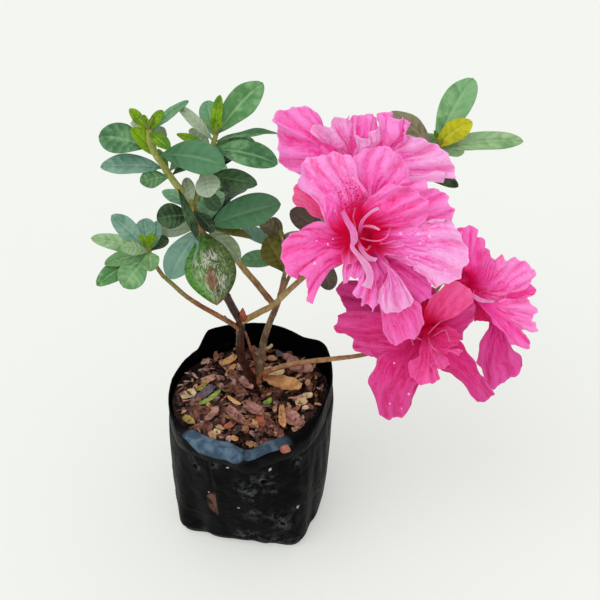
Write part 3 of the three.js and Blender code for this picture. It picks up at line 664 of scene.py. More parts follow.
# %% [markdown]
# ## Soil and its litter
# The mix is coarse: dark crumbs with chips of bark and bits of fallen leaf on top. A noise texture
# alone would look painted on, so the soil's top is a lumpy polar grid, and hundreds of small bent
# plates lie on it, each a sheet of a few faces, in a few plain browns.

# %% Soil
SOIL_ROWS = 90


def soil_lumps(x, y):
    """Height of the crumbs: a sum of products of sines at five scales, each turned from the last."""
    total = 0 * x
    for order, (step, size) in enumerate([(9.0, 0.9), (5.2, 0.7), (3.1, 0.5), (1.9, 0.35), (1.2, 0.22)]):
        turned = 1.1 * order + 0.4
        u = (x * math.cos(turned) - y * math.sin(turned)) * 2 * np.pi / step
        v = (x * math.sin(turned) + y * math.cos(turned)) * 2 * np.pi / step
        total = total + size * np.sin(u + 1.7 * np.sin(0.6 * v)) * np.sin(v + order)
    return total


def soil_height(x, y):
    """The level of the soil, sinking a little towards the middle, plus the crumbs."""
    away = np.hypot(x, y)
    return SOIL_TOP - 0.6 + 1.6 * smoothstep(away, 12, 34) + 0.55 * soil_lumps(x, y)


soil_compass = np.linspace(0, 360, 240, endpoint=False)[None, :]
edge = inner_radius(soil_compass, SOIL_TOP + 0 * soil_compass) - 1.0
reach = share(SOIL_ROWS, 1, 0.004) ** 0.8
top = polar(soil_compass, reach * edge, 0.0)
top[..., 2] = soil_height(top[..., 0], top[..., 1])
side_height = share(8, 1.6, SOIL_TOP - 1.5)
side = polar(soil_compass, inner_radius(soil_compass, side_height) - 1.0, side_height)
under = polar(soil_compass, share(4, 0.02, 1) * (inner_radius(soil_compass, 1.6 + 0 * soil_compass) - 1), 1.4)

soil = Finish("dark potting mix", roughness=0.95, specular_ior_level=0.2)
at = soil.place()
crumbs = soil.cells(at, 420)
damp = soil.noise(at, 160, 4, 0.65)
soil.set(base_color=soil.mix(soil.rise(damp + crumbs * 0.25, 0.45, 0.85), paint(10, 7, 6), paint(60, 39, 32)),
         normal=soil.bump(crumbs + damp, 0.0011, 0.9))
piece("soil_mix", [tubes(np.concatenate([under, side, top])[None])], [soil.material], ["soil"])


# %% Chips of bark and bits of leaf
def plates(middle, length, width, yaw, pitch, roll, bend, jag, rows=6, columns=4):
    """Bent plates: along x from -1/2 to 1/2 of the length, across y by the width times a jagged
    outline, bent by bend x length x (2x) squared, then turned by roll, pitch and yaw and set on
    their middles. jag holds one random number for each row of each plate."""
    count = len(length)
    along = np.linspace(-1, 1, rows)[None, :, None]
    across = np.linspace(-1, 1, columns)[None, None, :]
    length, width, yaw, pitch, roll, bend = (
        np.asarray(part, float).reshape(count, 1, 1) for part in (length, width, yaw, pitch, roll, bend))
    outline = (1 - 0.55 * np.abs(along) ** 3) * (1 + 0.26 * jag[:, :, None])
    x = 0.5 * length * along + 0 * across
    y = 0.5 * width * outline * across + 0.12 * width * jag[:, ::-1, None]
    z = bend * length * along**2 + 0.18 * width * across**2 * np.sign(bend)
    y, z = y * np.cos(roll) - z * np.sin(roll), y * np.sin(roll) + z * np.cos(roll)
    x, z = x * np.cos(pitch) - z * np.sin(pitch), x * np.sin(pitch) + z * np.cos(pitch)
    x, y = x * np.cos(yaw) - y * np.sin(yaw), x * np.sin(yaw) + y * np.cos(yaw)
    return np.stack([x, y, z], -1) + np.asarray(middle, float).reshape(count, 1, 1, 3)


def litter(count, sizes, seed, lift, tilt):
    """Random plates on the soil, evenly over the disc: radius = reach x square root of a random
    number, kept clear of the bag's wall by their own length."""
    random = np.random.default_rng(seed)
    length = random.uniform(*sizes, count)
    around = random.uniform(0, 360, count)
    room = inner_radius(around, np.full(count, float(SOIL_TOP))) - 1.2 - 0.5 * length
    away = room * np.sqrt(random.uniform(0.0, 1, count))
    x, y = away * np.cos(np.radians(around)), away * np.sin(np.radians(around))
    middle = np.stack([x, y, soil_height(x, y) + random.uniform(*lift, count)], -1)
    shape = dict(length=length, width=length * random.uniform(0.2, 0.62, count),
                 yaw=random.uniform(0, 2 * np.pi, count), pitch=random.normal(0, tilt, count),
                 roll=random.normal(0, tilt, count), bend=random.normal(0, 0.06, count))
    return plates(middle, jag=random.uniform(-1, 1, (count, 6)), **shape)


def litter_finish(name, dark, light):
    """Dead plant stuff: two browns mixed by a fine grain, dull, and rough to the touch."""
    made = Finish(name, specular_ior_level=0.3)
    fibre = made.noise(made.place(scale=(500, 500, 500)), 1, 4, 0.65)
    blotch = made.noise(made.place(), 180, 3)
    share_light = made.rise(fibre * 0.6 + blotch * 0.6, 0.42, 0.78)
    made.set(base_color=made.mix(share_light, *paints(dark, light)),
             roughness=fibre * 0.3 + 0.6, normal=made.bump(fibre, 0.0006, 0.8))
    return made.material


# what it is, dark and light, how many, shortest and longest, seed, lift over the soil, tilt, thickness
LITTER = {
    "litter_dark": ("dark bark chip", (18, 11, 10), (88, 58, 52), 260, (3.0, 9.5), 21, (-0.4, 2.0), 0.5, 0.7),
    "litter_red": ("red-brown bark chip", (60, 32, 25), (162, 106, 86), 170, (3.5, 10.5), 22, (0.2, 2.6),
                   0.5, 0.6),
    "litter_tan": ("tan leaf bit", (116, 76, 46), (212, 164, 118), 75, (2.5, 6.5), 23, (1.4, 3.6), 0.35,
                   0.45),
    "litter_pink": ("pale bark chip", (100, 68, 62), (216, 172, 154), 90, (2.5, 8.5), 24, (0.8, 3.0), 0.45,
                    0.45),
}
for name, (what, dark, light, count, sizes, seed, lift, tilt, thickness) in LITTER.items():
    piece(name, [sheets(litter(count, sizes, seed, lift, tilt), thickness)],
          [litter_finish(what, dark, light)])

# %% The few large scraps that stand out
# dark and light, then rows of middle x, y, lift, length, width, yaw, pitch, bend
SCRAPS = {
    "scrap_tan": ((170, 116, 62), (222, 172, 116), [
        (16.0, 6.1, 4.6, 24.0, 10.5, -0.67, 0.10, 0.05), (16.7, -19.2, 3.8, 16.0, 3.8, -1.5, 0.0, 0.10),
        (-11.9, 24.3, 3.6, 11.3, 5.5, 0.91, -0.1, 0.06), (-10.8, 17.5, 3.4, 10.5, 2.8, -1.99, 0, 0.04),
        (-7.5, -7.2, 4.0, 10.2, 2.2, -0.82, 0.1, 0.10), (-6.5, -33.0, 3.2, 4.4, 3.2, 2.41, 0, 0.03),
    ]),
    "scrap_cream": ((196, 170, 122), (232, 212, 172), [
        (12.0, 12.5, 6.4, 10.8, 6.2, -0.22, 0.05, 0.04), (-31.0, -1.6, 3.4, 8.0, 6.0, 0.57, 0.1, 0.03),
        (26.4, -7.2, 3.4, 6.4, 4.9, 0.53, 0, 0.03), (29.6, -2.8, 3.6, 5.1, 4.6, 0, 0.1, 0.03),
        (28.4, -11.0, 3.2, 3.4, 3.0, 0.53, 0, 0.02), (-15.3, -28.2, 3.0, 3.8, 3.4, -0.38, 0, 0.02),
        (9.2, 34.0, 5.2, 5.6, 2.5, 0.86, 0, 0.10),
    ]),
    "scrap_green": ((84, 116, 34), (150, 176, 80), [
        (-19.7, -5.7, 4.6, 13.5, 2.9, 0.73, 0.12, 0.07), (9.7, -8.0, 4.2, 4.8, 4.0, 0.32, 0.4, 0.12),
    ]),
    "scrap_yellow": ((132, 108, 44), (186, 164, 92), [
        (-29.6, -20.0, 3.2, 7.3, 4.2, -0.75, 0, 0.04), (-25.5, 3.6, 3.2, 6.0, 4.0, 0.4, 0.1, 0.05),
        (-23.5, 8.0, 3.2, 5.0, 3.4, 1.1, 0, 0.05),
    ]),
    "scrap_pink": ((120, 76, 68), (196, 146, 130), [
        (25.1, 18.3, 4.2, 15.8, 9.0, -0.53, 0.06, 0.05), (20.6, 25.6, 4.0, 9.4, 5.2, -0.55, 0, 0.06),
        (21.4, -18.9, 3.2, 13.6, 7.6, -0.93, -0.05, 0.02), (2.3, -12.8, 3.6, 12.6, 7.2, -0.82, 0.1, 0.03),
        (-7.1, -16.8, 3.4, 13.0, 6.4, -0.85, -0.1, 0.04), (-18.2, -16.8, 3.8, 11.4, 3.4, 1.09, 0, 0.07),
        (-2.3, 6.5, 3.8, 11.4, 4.6, -0.96, 0.05, 0.04), (-22.6, 9.9, 3.0, 10.6, 5.0, 0.5, 0, 0.05),
    ]),
    "scrap_red": ((126, 58, 38), (184, 104, 78), [
        (6.3, -21.7, 4.4, 13.5, 4.0, -1.4, 0.25, 0.04), (-9.4, -24.7, 3.6, 5.0, 3.6, 0.64, 0, 0.03),
        (2.7, 12.0, 4.2, 14.0, 2.9, -1.13, 0.1, 0.03),
    ]),
    "scrap_grey": ((62, 58, 66), (118, 108, 116), [
        (-23.6, -1.2, 3.2, 15.6, 5.6, 0.84, 0.05, 0.04), (14.9, 30.0, 4.0, 6.5, 3.4, -0.76, 0, 0.08),
    ]),
}
for name, (dark, light, rows) in SCRAPS.items():
    x, y, lift, length, width, yaw, pitch, bend = np.array(rows).T
    random = np.random.default_rng(31)
    middle = np.stack([x, y, SOIL_TOP + lift], -1)
    jag = random.uniform(-0.35, 0.35, (len(rows), 12))
    grid = plates(middle, length, width, yaw, pitch, random.normal(0, 0.1, len(rows)), bend, jag,
                  rows=12, columns=7)
    piece(name, [sheets(grid, 0.5)], [litter_finish(name.replace("_", " "), dark, light)])

# %% A crumb of fired clay on the rim
CRUMB_AT = [18.6, -44.2, 79.6]
CRUMB_RADIUS = 2.5
crumb_turn = np.linspace(0, 2 * np.pi, 14, endpoint=False)[None, :]
crumb_rise = np.linspace(0.03, 0.97, 9)[:, None] * np.pi
crumb_size = CRUMB_RADIUS * (1 + 0.16 * np.sin(3 * crumb_turn + 2 * crumb_rise))
crumb = np.stack([crumb_size * np.sin(crumb_rise) * np.cos(crumb_turn),
                  0.8 * crumb_size * np.sin(crumb_rise) * np.sin(crumb_turn),
                  -2.2 * np.cos(crumb_rise) + 0 * crumb_turn], -1)
piece("crumb_on_rim", [tubes((crumb + CRUMB_AT)[None])],
      [litter_finish("fired clay crumb", (120, 62, 48), (176, 108, 88))])

# %% [markdown]
# ## Stems and branches
# The shrub stands on two woody stems. The main one is dark and red below, where its bark has
# matured, and tan above, and the thin left branch is green at its tip. Bark this young has shallow
# furrows that run along it and a low ring at each old leaf scar. A displaced cylinder would do, but
# a tube whose radius is worked out ring by ring keeps the furrows along the stem however it bends.

# %% Routes of the limbs
MAIN_FORK = [-23.9, 3, 187.3]
LOW_FORK = [-3.6, 2, 119.4]
FRONT_TIP = [44.7, 15, 156.5]
RIGHT_TIP = [90, 19, 116]
LEFT_TIP = [-37.4, -8, 154.8]
BACK_TIP = [17.8, 16, 136.9]
LEANING_TIP = [-16.1, 8, 170.1]
LIMB_SIDES = 24
STEM_FOOT = SOIL_TOP + 0.3

# route, foot radius, tip radius, root flare, finish
LIMBS = {
    "main_stem": ([[2.4, 8, 66], [1.8, 8, 74], [-3.1, 5, 92.6], [-4.1, 3, 105.9], LOW_FORK,
                   [-7.5, 1, 131.1], [-15.1, 1, 151.7], [-20.4, 2, 175], MAIN_FORK], 2.0, 1.9, 3.2, "red"),
    "back_stem": ([[3.4, 9, 66], [3.6, 9, 74], [5.1, 10, 85], [8.5, 12, 105.1], [14.8, 14, 123.1],
                   BACK_TIP], 2.3, 1.1, 0, "grey"),
    "right_branch": ([[3.5, 8, 75.5], [8.2, 7, 83.5], [25.1, 5, 91.3], [50.9, 6, 94.4], [62, 8, 96],
                      [79, 14, 102], RIGHT_TIP], 1.4, 0.9, 0, "ginger"),
    "left_branch": ([[-4, 2, 115.5], [-8.9, 1, 120.8], [-25.8, -3, 137.2], LEFT_TIP], 1.3, 0.95, 0, "green"),
    "front_branch": ([[-4, 2, 119.5], [6.3, 1, 126.9], [12.6, 2, 130.4], [24.2, 6, 140.6], FRONT_TIP],
                     1.6, 1.1, 0, "straw"),
    "leaning_branch": ([[13.7, 14, 120.6], [9.9, 13, 126.3], [-6.6, 10, 154.6], LEANING_TIP],
                       1.5, 1.35, 0, "tan"),
    "sucker": ([[4.2, 10, 78], [3.2, 11, 86], [0.7, 10, 97], [-1.7, 7, 110]], 0.8, 0.6, 0, "rust"),
}


print("limbs:", ", ".join(LIMBS))


# %% Rings with bark relief
def bark_relief(walked, angle, seed):
    """Relative swelling of a young stem: furrows along it (sines of the angle whose phase drifts
    slowly with the distance walked), fine cracks across, and a low ring at each leaf scar."""
    random = np.random.default_rng(seed)
    phase = random.uniform(0, 2 * np.pi, 6)
    furrows = (0.055 * np.sin(3 * angle + phase[0] + walked / 9)
               + 0.045 * np.sin(5 * angle + phase[1] - walked / 6)
               + 0.035 * np.sin(8 * angle + phase[2] + 1.5 * np.sin(walked / 5)))
    knots = 0.06 * np.sin(walked / 3.1 + phase[3]) * np.sin(walked / 7.3 + phase[4] + angle)
    scar_at = np.arange(6, 400, 11.0) + random.uniform(-3, 3, 36)
    scar_turn = random.uniform(0, 2 * np.pi, 36)
    near = np.exp(-((walked[..., None] - scar_at) / 0.9) ** 2)
    facing = 0.35 + 0.65 * np.clip(np.cos(angle[..., None] - scar_turn), 0, 1) ** 2
    return furrows + knots + 0.20 * (near * facing).sum(-1)


def limb_grid(route, foot, tip, flare, seed, cut=None, step=0.8):
    """Rings along a smooth route: the radius goes evenly from foot to tip, plus the root flare
    times exp(-distance / 4), times 1 plus the bark's relief. Rings below cut are set level on it."""
    length = np.linalg.norm(np.diff(smooth_route(route, 200), axis=0), axis=1).sum()
    rings = max(6, int(length / step))
    centres = smooth_route(route, rings)
    walked = np.linspace(0, length, rings)[:, None]
    angle = np.linspace(0, 2 * np.pi, LIMB_SIDES, endpoint=False)[None, :]
    taper = lerp(foot, tip, walked / length) + flare * np.exp(-walked / 4)
    grid = tube_grid(centres, taper * (1 + bark_relief(walked + 0 * angle, angle, seed)), LIMB_SIDES)
    if cut is not None:
        grid[..., 2] = np.maximum(grid[..., 2], cut)
    return grid


def bud_grid(foot, along, length, radius):
    """A pointed bud: rings whose radius is the square root of a sine, drawn out to a tip."""
    s = np.linspace(0.02, 0.98, 12)[:, None]
    centres = foot + s * length * along
    return tube_grid(centres, radius * np.sin(np.pi * s**0.75) ** 0.8 + 0.05, 12)


print("rings of the main stem:", len(limb_grid(*LIMBS["main_stem"][:4], 40)))


# %% Bark, and the limbs in it
def bark_finish(name, low_dark, low_light, high_dark, high_light, change, roughness, pale_patches=0.35):
    """Bark with two pairs of colours, one below and one above the height where it changes."""
    made = Finish(name, specular_ior_level=0.4)
    low_dark, low_light, high_dark, high_light = paints(low_dark, low_light, high_dark, high_light)
    at = made.place()
    fibre = made.noise(made.place(scale=(900, 900, 220)), 1, 4, 0.65, 0.5)
    patch = made.noise(at, 210, 4, 0.6)
    scuffs = made.rise(made.noise(at, 420, 3, 0.6), 0.58, 0.7)
    grain = made.rise(fibre * 0.5 + patch * 0.6, 0.38, 0.76)
    height = made.part(at, "Z") + (patch - 0.5) * 0.03
    below = made.mix(grain, low_dark, low_light)
    above = made.mix(grain, high_dark, high_light)
    colour = made.mix(made.rise(height, change - 0.014, change + 0.014), below, above)
    made.set(base_color=made.mix(scuffs * pale_patches, colour, paint(168, 150, 128)),
             roughness=roughness + 0.2 * (1 - fibre), normal=made.bump(fibre + patch * 0.5, 0.0005, 0.9))
    return made.material


# finish, dark and light below, dark and light above, height of the change, roughness, scuffs
BARK_PAINTS = {
    "red": ("red-brown bark", (32, 13, 8), (84, 40, 25), (112, 84, 42), (164, 138, 78), 0.166, 0.30, 0.10),
    "grey": ("grey-brown bark", (80, 60, 40), (144, 118, 82), (96, 66, 48), (160, 120, 88), 0.118, 0.5),
    "rust": ("rust bark", (104, 52, 32), (178, 112, 76), (110, 60, 36), (180, 116, 80), 0.12, 0.4),
    "tan": ("tan bark", (112, 74, 44), (176, 130, 84), (140, 116, 60), (188, 168, 98), 0.138, 0.45),
    "green": ("bark, green at the tip", (116, 66, 36), (184, 128, 78), (100, 110, 42), (172, 178, 94),
              0.142, 0.45, 0.2),
    "straw": ("straw bark", (132, 106, 60), (190, 164, 102), (110, 88, 46), (176, 156, 92), 0.146, 0.45, 0.2),
    "ginger": ("ginger bark", (118, 66, 38), (184, 122, 80), (142, 110, 66), (192, 164, 112), 0.093, 0.45,
               0.2),
}
BARKS = {kind: bark_finish(*row) for kind, row in BARK_PAINTS.items()}
for order, (name, (route, foot, tip, flare, bark)) in enumerate(LIMBS.items()):
    cut = STEM_FOOT if name in ("main_stem", "back_stem") else None
    grid = limb_grid(route, foot, tip, flare, 40 + order, cut)
    piece(f"{name}_bark", [tubes(grid[None])], [BARKS[bark]], [name])

# %% Two red buds and a dead snag at the low fork
fork = np.array(LOW_FORK)
fork_bud = [bud_grid(fork + [1.3, -1.6, 2.0], unit(np.array([0.04, 0, 1])), 8.6, 1.65),
            bud_grid(fork + [2.3, -1.4, 2.0], unit(np.array([-0.02, 0, 1])), 6.2, 1.2)]
piece("fork_bud", [tubes(np.array(fork_bud))],
      [bark_finish("red bud", (88, 26, 14), (176, 78, 48), (104, 34, 20), (196, 104, 66), 0.124, 0.4)])
snag = limb_grid([[-7.5, 1, 119.5], [-9.4, 0, 122.4], [-10.8, -1, 125.6]], 0.9, 0.65, 0, 90)
piece("snag", [tubes(snag[None])], [BARKS["grey"]])

# %% [markdown]
# ## Leaves
# An azalea leaf is a blunt leathery oval on a very short stalk. It is dished along its midrib, its
# blade bulges a little between sunken side veins, and its back is pale. Pictures of leaves on flat
# cards are the usual trick. Here each leaf is a real sheet, placed by the rule of the solids, and
# the leaves are sorted into pieces by age, and into darker and paler copies that are painted shade
# and painted light, each with its own green for the two sides.

# %% The shape of one leaf
LEAF_ROWS = 33
LEAF_COLUMNS = 15
LEAF_DROOP = 22
LEAF_WIDTH = 0.44
LEAF_THICKNESS = 0.35
VEIN_PAIRS = 6.5


def leaf_sheet(foot, heading, rise, length, width, roll, seed, pointed=False):
    """One leaf as the solids place it, with its vein relief.

    Its midrib is an arc that leaves the foot at rise plus half the droop and bends down by the
    droop. Across it stands the half width, length x width x outline / 2, where the outline is
    sin(pi s ** widest) ** 0.6 beyond a short stalk: broad leaves are widest far out and have
    blunt tips, unless they are pointed. The blade is dished, waved along its margins, raised
    between the side veins and sunk along the midrib. It is walked from its left margin to its
    right, which puts the face of the sheet on top.
    """
    random = np.random.default_rng(seed)
    s = np.linspace(0, 1, LEAF_ROWS)[:, None]
    x = np.sin(np.linspace(np.pi / 2, -np.pi / 2, LEAF_COLUMNS))[None, :]
    bend = math.radians(LEAF_DROOP + random.uniform(-6, 8))
    start = math.radians(rise) + bend / 2
    angle = start - bend * s
    along = (math.sin(start) - np.sin(angle)) / bend
    up = (np.cos(angle) - math.cos(start)) / bend
    ahead, aside = direction(heading, 0), direction(heading + 90, 0)
    normal = -np.sin(angle)[..., None] * ahead + np.cos(angle)[..., None] * np.array([0, 0, 1])
    twist = np.radians(roll + random.uniform(-9, 9) * s)[..., None]
    side = np.cos(twist) * aside + np.sin(twist) * normal
    face = np.cos(twist) * normal - np.sin(twist) * aside
    blade = np.clip((s - 0.07) / 0.93, 0, 1)
    broad = 0 if pointed else smoothstep(width, 0.42, 0.60)
    outline = np.sin(np.pi * blade ** (random.uniform(1.12, 1.32) + 0.35 * broad))
    outline = outline ** (0.85 if pointed else 0.6)
    half = np.maximum(np.where(s < 0.09, 0.5, 0.06), length * width * 0.5 * outline)
    half = half * (1 + 0.018 * np.sin(9 * s + seed) * np.sign(x))
    dish = random.uniform(0.06, 0.30) * np.abs(x) ** 1.4 * half
    waves = 0.022 * length * x**2 * np.sin(2 * np.pi * (1.6 * s + random.uniform()) + np.sign(x)) * outline
    quilt = 0.016 * length * np.sin(np.pi * (VEIN_PAIRS * blade - 1.5 * np.abs(x))) ** 2
    quilt = quilt * outline * (1 - x**2) * (1 - np.exp(-(x / 0.16) ** 2))
    groove = -0.014 * length * np.exp(-(x / 0.14) ** 2) * outline
    lift = (dish + waves + quilt + groove)[..., None]
    sway = random.uniform(-0.05, 0.05) * length * s**2
    line = foot + length * along[..., None] * ahead + length * up[..., None] * np.array([0, 0, 1])
    return line + (x * half + sway)[..., None] * side + lift * face


print("points of a leaf:", leaf_sheet(np.zeros(3), 0, 0, 30, LEAF_WIDTH, 0, 0).shape)


# %% The two sides of a leaf
def blade_places(finish, sway):
    """How far a place of the blade is from the midrib, how far along it, and its side veins: a sine
    that is 1 on each of them, since they leave the midrib in pairs and slant towards the tip. A
    noise sways them, so that no two veins run alike."""
    where = finish.place("UV")
    across = abs(finish.part(where, "X") * 2 - 1)
    along = finish.part(where, "Y")
    return across, along, finish.sine((along * VEIN_PAIRS - across * 1.2 + sway * 1.6) * (2 * math.pi))


def leaf_finish(name, dark, light, other, vein, dull, painted_vein_shade=0.35, spotted=0.0):
    """The upper side of a leaf: painted shade in the grooves of its veins and painted light on the
    bulges between them, shifted towards another hue from leaf to leaf, with a pale midrib, a thin dry
    margin, and here and there a brown spot at the tip."""
    made = Finish(name, specular_ior_level=0.28, subsurface_weight=0.04, subsurface_scale=0.001,
                  subsurface_radius=(0.5, 1.0, 0.2))
    dark, light, other, vein = paints(dark, light, other, vein)
    at = made.place()
    one_leaf = made.value_of("leaf")
    patch = made.noise(at, 150, 4, 0.6, 0.3)
    fine = made.noise(at, 1500, 3, 0.6)
    across, along, vein_wave = blade_places(made, patch)
    soft = made.noise(at, 60, 2, 0.5)
    # the side veins darken the grooves and lighten the bulges: painted shade and painted light
    tone = patch * 0.8 + soft * 0.5 + fine * 0.25 + (one_leaf - 0.5) * 0.3 - vein_wave * painted_vein_shade * 0.13
    colour = made.mix(made.rise(tone, 0.58, 0.96), dark, light)
    colour = made.mix(made.rise(one_leaf * 0.5 + soft * 0.9, 0.5, 0.95) * 0.75, colour, other)
    # painted shade in the grooves of the side veins
    painted_groove_shade = made.rise(vein_wave, 0.86, 1.0) * made.rise(across, 0.95, 0.5)
    colour = made.mix(painted_groove_shade * painted_vein_shade * 0.6, colour, dark)
    colour = made.mix(made.rise(across, 0.09, 0.02) * made.rise(along, 1.0, 0.7) * 0.42, colour, vein)
    colour = made.mix(made.rise(across, 0.94, 1.0) * patch * 0.8, colour, paint(128, 104, 78))
    spots = made.rise(made.noise(at, 260, 3, 0.6), 0.66, 0.72) * made.rise(along, 0.6, 0.97)
    colour = made.mix(spots * spotted, colour, paint(104, 66, 42))
    height = vein_wave * -0.3 + fine * 0.5 - made.rise(across, 0.2, 0.04) * 0.6
    made.set(base_color=colour, roughness=dull + patch * 0.22, normal=made.bump(height, 0.0004, 0.9))
    return made.material


def leaf_back(name, pale, vein):
    """The underside: pale and dull, with the midrib and the side veins standing out."""
    made = Finish(name, roughness=0.62, specular_ior_level=0.2, subsurface_weight=0.04,
                  subsurface_scale=0.001, subsurface_radius=(0.5, 1.0, 0.2))
    pale, vein = paints(pale, vein)
    patch = made.noise(made.place(), 220, 3, 0.6)
    across, _, vein_wave = blade_places(made, patch)
    colour = made.mix(made.rise(across, 0.16, 0.03) * 0.7, pale, vein)
    colour = made.mix(made.rise(vein_wave, 0.8, 1.0) * 0.35, colour, vein)
    made.set(base_color=made.mix(patch * 0.5, colour, paint(112, 128, 92)),
             normal=made.bump(patch + vein_wave * 0.3, 0.0004, 0.7))
    return made.material


print("side veins of a leaf:", VEIN_PAIRS, "pairs")


# %% A hurt leaf
def hurt_finish():
    """The big hanging leaf is hurt: bright green and sprinkled on one half, with white streaks along the
    midrib that are a painted reflection, a red-brown patch past its middle, and dark green on the other."""
    made = Finish("hurt leaf", specular_ior_level=0.35)
    where = made.place("UV")
    sideways = made.part(where, "X")
    along = made.part(where, "Y")
    at = made.place()
    fine = made.noise(at, 620, 4, 0.7)
    patch = made.noise(at, 150, 3, 0.6, 0.5)
    bright = made.mix(made.rise(fine + patch * 0.4, 0.45, 0.95), paint(40, 92, 20), paint(104, 172, 62))
    dim = made.mix(made.rise(fine * 0.6 + patch * 0.6, 0.45, 0.8), paint(34, 58, 14), paint(92, 122, 44))
    colour = made.mix(made.rise(sideways + (patch - 0.5) * 0.3, 0.44, 0.58), dim, bright)
    streaks = made.noise(made.place("UV", (16, 7, 1)), 1, 5, 0.75, 1.8)
    # the white streaks along the midrib are a painted reflection
    painted_reflection_band = made.rise(abs(sideways - 0.5) + (patch - 0.5) * 0.4, 0.34, 0.06) * made.rise(along, 0.24, 0.4)
    colour = made.mix(made.rise(streaks, 0.47, 0.57) * painted_reflection_band * 0.9, colour, paint(212, 214, 194))
    hurt = made.rise(abs(sideways - 0.52) * 1.6 + abs(along - 0.70) + (patch - 0.5) * 0.6, 0.26, 0.08)
    colour = made.mix(hurt * 0.8, colour, paint(132, 66, 46))
    colour = made.mix(made.rise(made.noise(at, 1250, 2), 0.66, 0.70) * 0.6, colour, paint(214, 220, 196))
    tip = made.rise(along, 0.86, 1.0)
    colour = made.mix(tip * 0.6, colour, paint(128, 92, 60))
    made.set(base_color=colour, roughness=0.34 + fine * 0.2, normal=made.bump(fine + streaks, 0.0009, 0.9))
    return made.material


HURT_LEAF = hurt_finish()
print("finish made:", HURT_LEAF.name)

# %% Leaves of every age, with painted shaded and lit copies
# dark, light, other hue, vein, roughness, painted shade in the vein grooves, spotted, then the pale
# and the vein of the back
# dark is a copy painted darker, painted shade for leaves in shadow; pale and bright are copies painted
# lighter, painted light for leaves lit from behind
LEAF_PAINTS = {
    "green": ((52, 104, 60), (132, 176, 120), (96, 148, 110), (152, 188, 138), 0.34, 0.3, 0.5,
              (128, 156, 120), (170, 190, 156)),
    "deep": ((34, 84, 50), (104, 148, 100), (68, 122, 84), (126, 164, 116), 0.34, 0.3, 0.5,
             (118, 146, 110), (160, 180, 146)),
    "fresh": ((78, 132, 74), (150, 192, 132), (112, 164, 112), (170, 204, 148), 0.36, 0.25, 0.3,
              (140, 170, 126), (180, 200, 160)),
    "teal": ((78, 124, 106), (144, 180, 154), (112, 154, 136), (160, 190, 166), 0.40, 0.2, 0.3,
             (140, 166, 140), (176, 196, 166)),
    "dark": ((20, 44, 20), (78, 112, 66), (54, 86, 56), (104, 134, 88), 0.34, 0.35, 0.8,
             (84, 104, 74), (122, 140, 100)),
    "bright": ((104, 150, 92), (168, 198, 148), (146, 182, 132), (182, 204, 160), 0.40, 0.35, 0.2,
               (150, 180, 130), (184, 204, 160)),
    "pale": ((128, 150, 112), (186, 200, 168), (160, 176, 150), (196, 208, 182), 0.50, 0.4, 0.2,
             (158, 176, 144), (190, 204, 176)),
    "young": ((76, 124, 6), (152, 190, 16), (116, 160, 8), (186, 208, 72), 0.40, 0.15, 0.2,
              (130, 160, 50), (170, 196, 90)),
    "yellow": ((160, 166, 8), (208, 206, 24), (190, 188, 12), (218, 216, 84), 0.42, 0.25, 0.3,
               (176, 182, 60), (204, 206, 100)),
    "olive": ((62, 68, 10), (112, 114, 38), (90, 92, 20), (136, 138, 70), 0.44, 0.35, 0.8,
              (98, 104, 52), (128, 132, 80)),
    "bronze": ((92, 88, 60), (150, 146, 110), (122, 126, 94), (160, 158, 124), 0.46, 0.45, 0.9,
               (122, 122, 94), (150, 150, 118)),
    "dull": ((54, 44, 38), (106, 100, 86), (78, 76, 62), (120, 112, 96), 0.46, 0.35, 0.6,
             (84, 80, 66), (112, 108, 90)),
}
LEAF_FINISHES = {}
for kind, (dark, light, other, vein, dull, painted_vein_shade, spotted, pale, back_vein) in LEAF_PAINTS.items():
    LEAF_FINISHES[kind] = [
        leaf_finish(f"{kind} leaf", dark, light, other, vein, dull, painted_vein_shade, spotted),
        leaf_back(f"{kind} leaf underside", pale, back_vein),
    ]
LEAF_FINISHES["marked"] = [HURT_LEAF, LEAF_FINISHES["pale"][1]]
print("leaf finishes:", ", ".join(LEAF_FINISHES))

# %% [markdown]
# ## Leafy shoots
# Each branch ends in a shoot with a whorl of leaves. The leaves of the front are listed one by one,
# by compass heading, rise, length, width, place on the stem, roll and kind. The side away from it
# is filled by the golden angle, as plants do themselves. The stems, the tiny leaves round each bud
# and the buds are finer than in the solids.

# %% Where the leaves grow
GOLDEN_ANGLE = 137.5
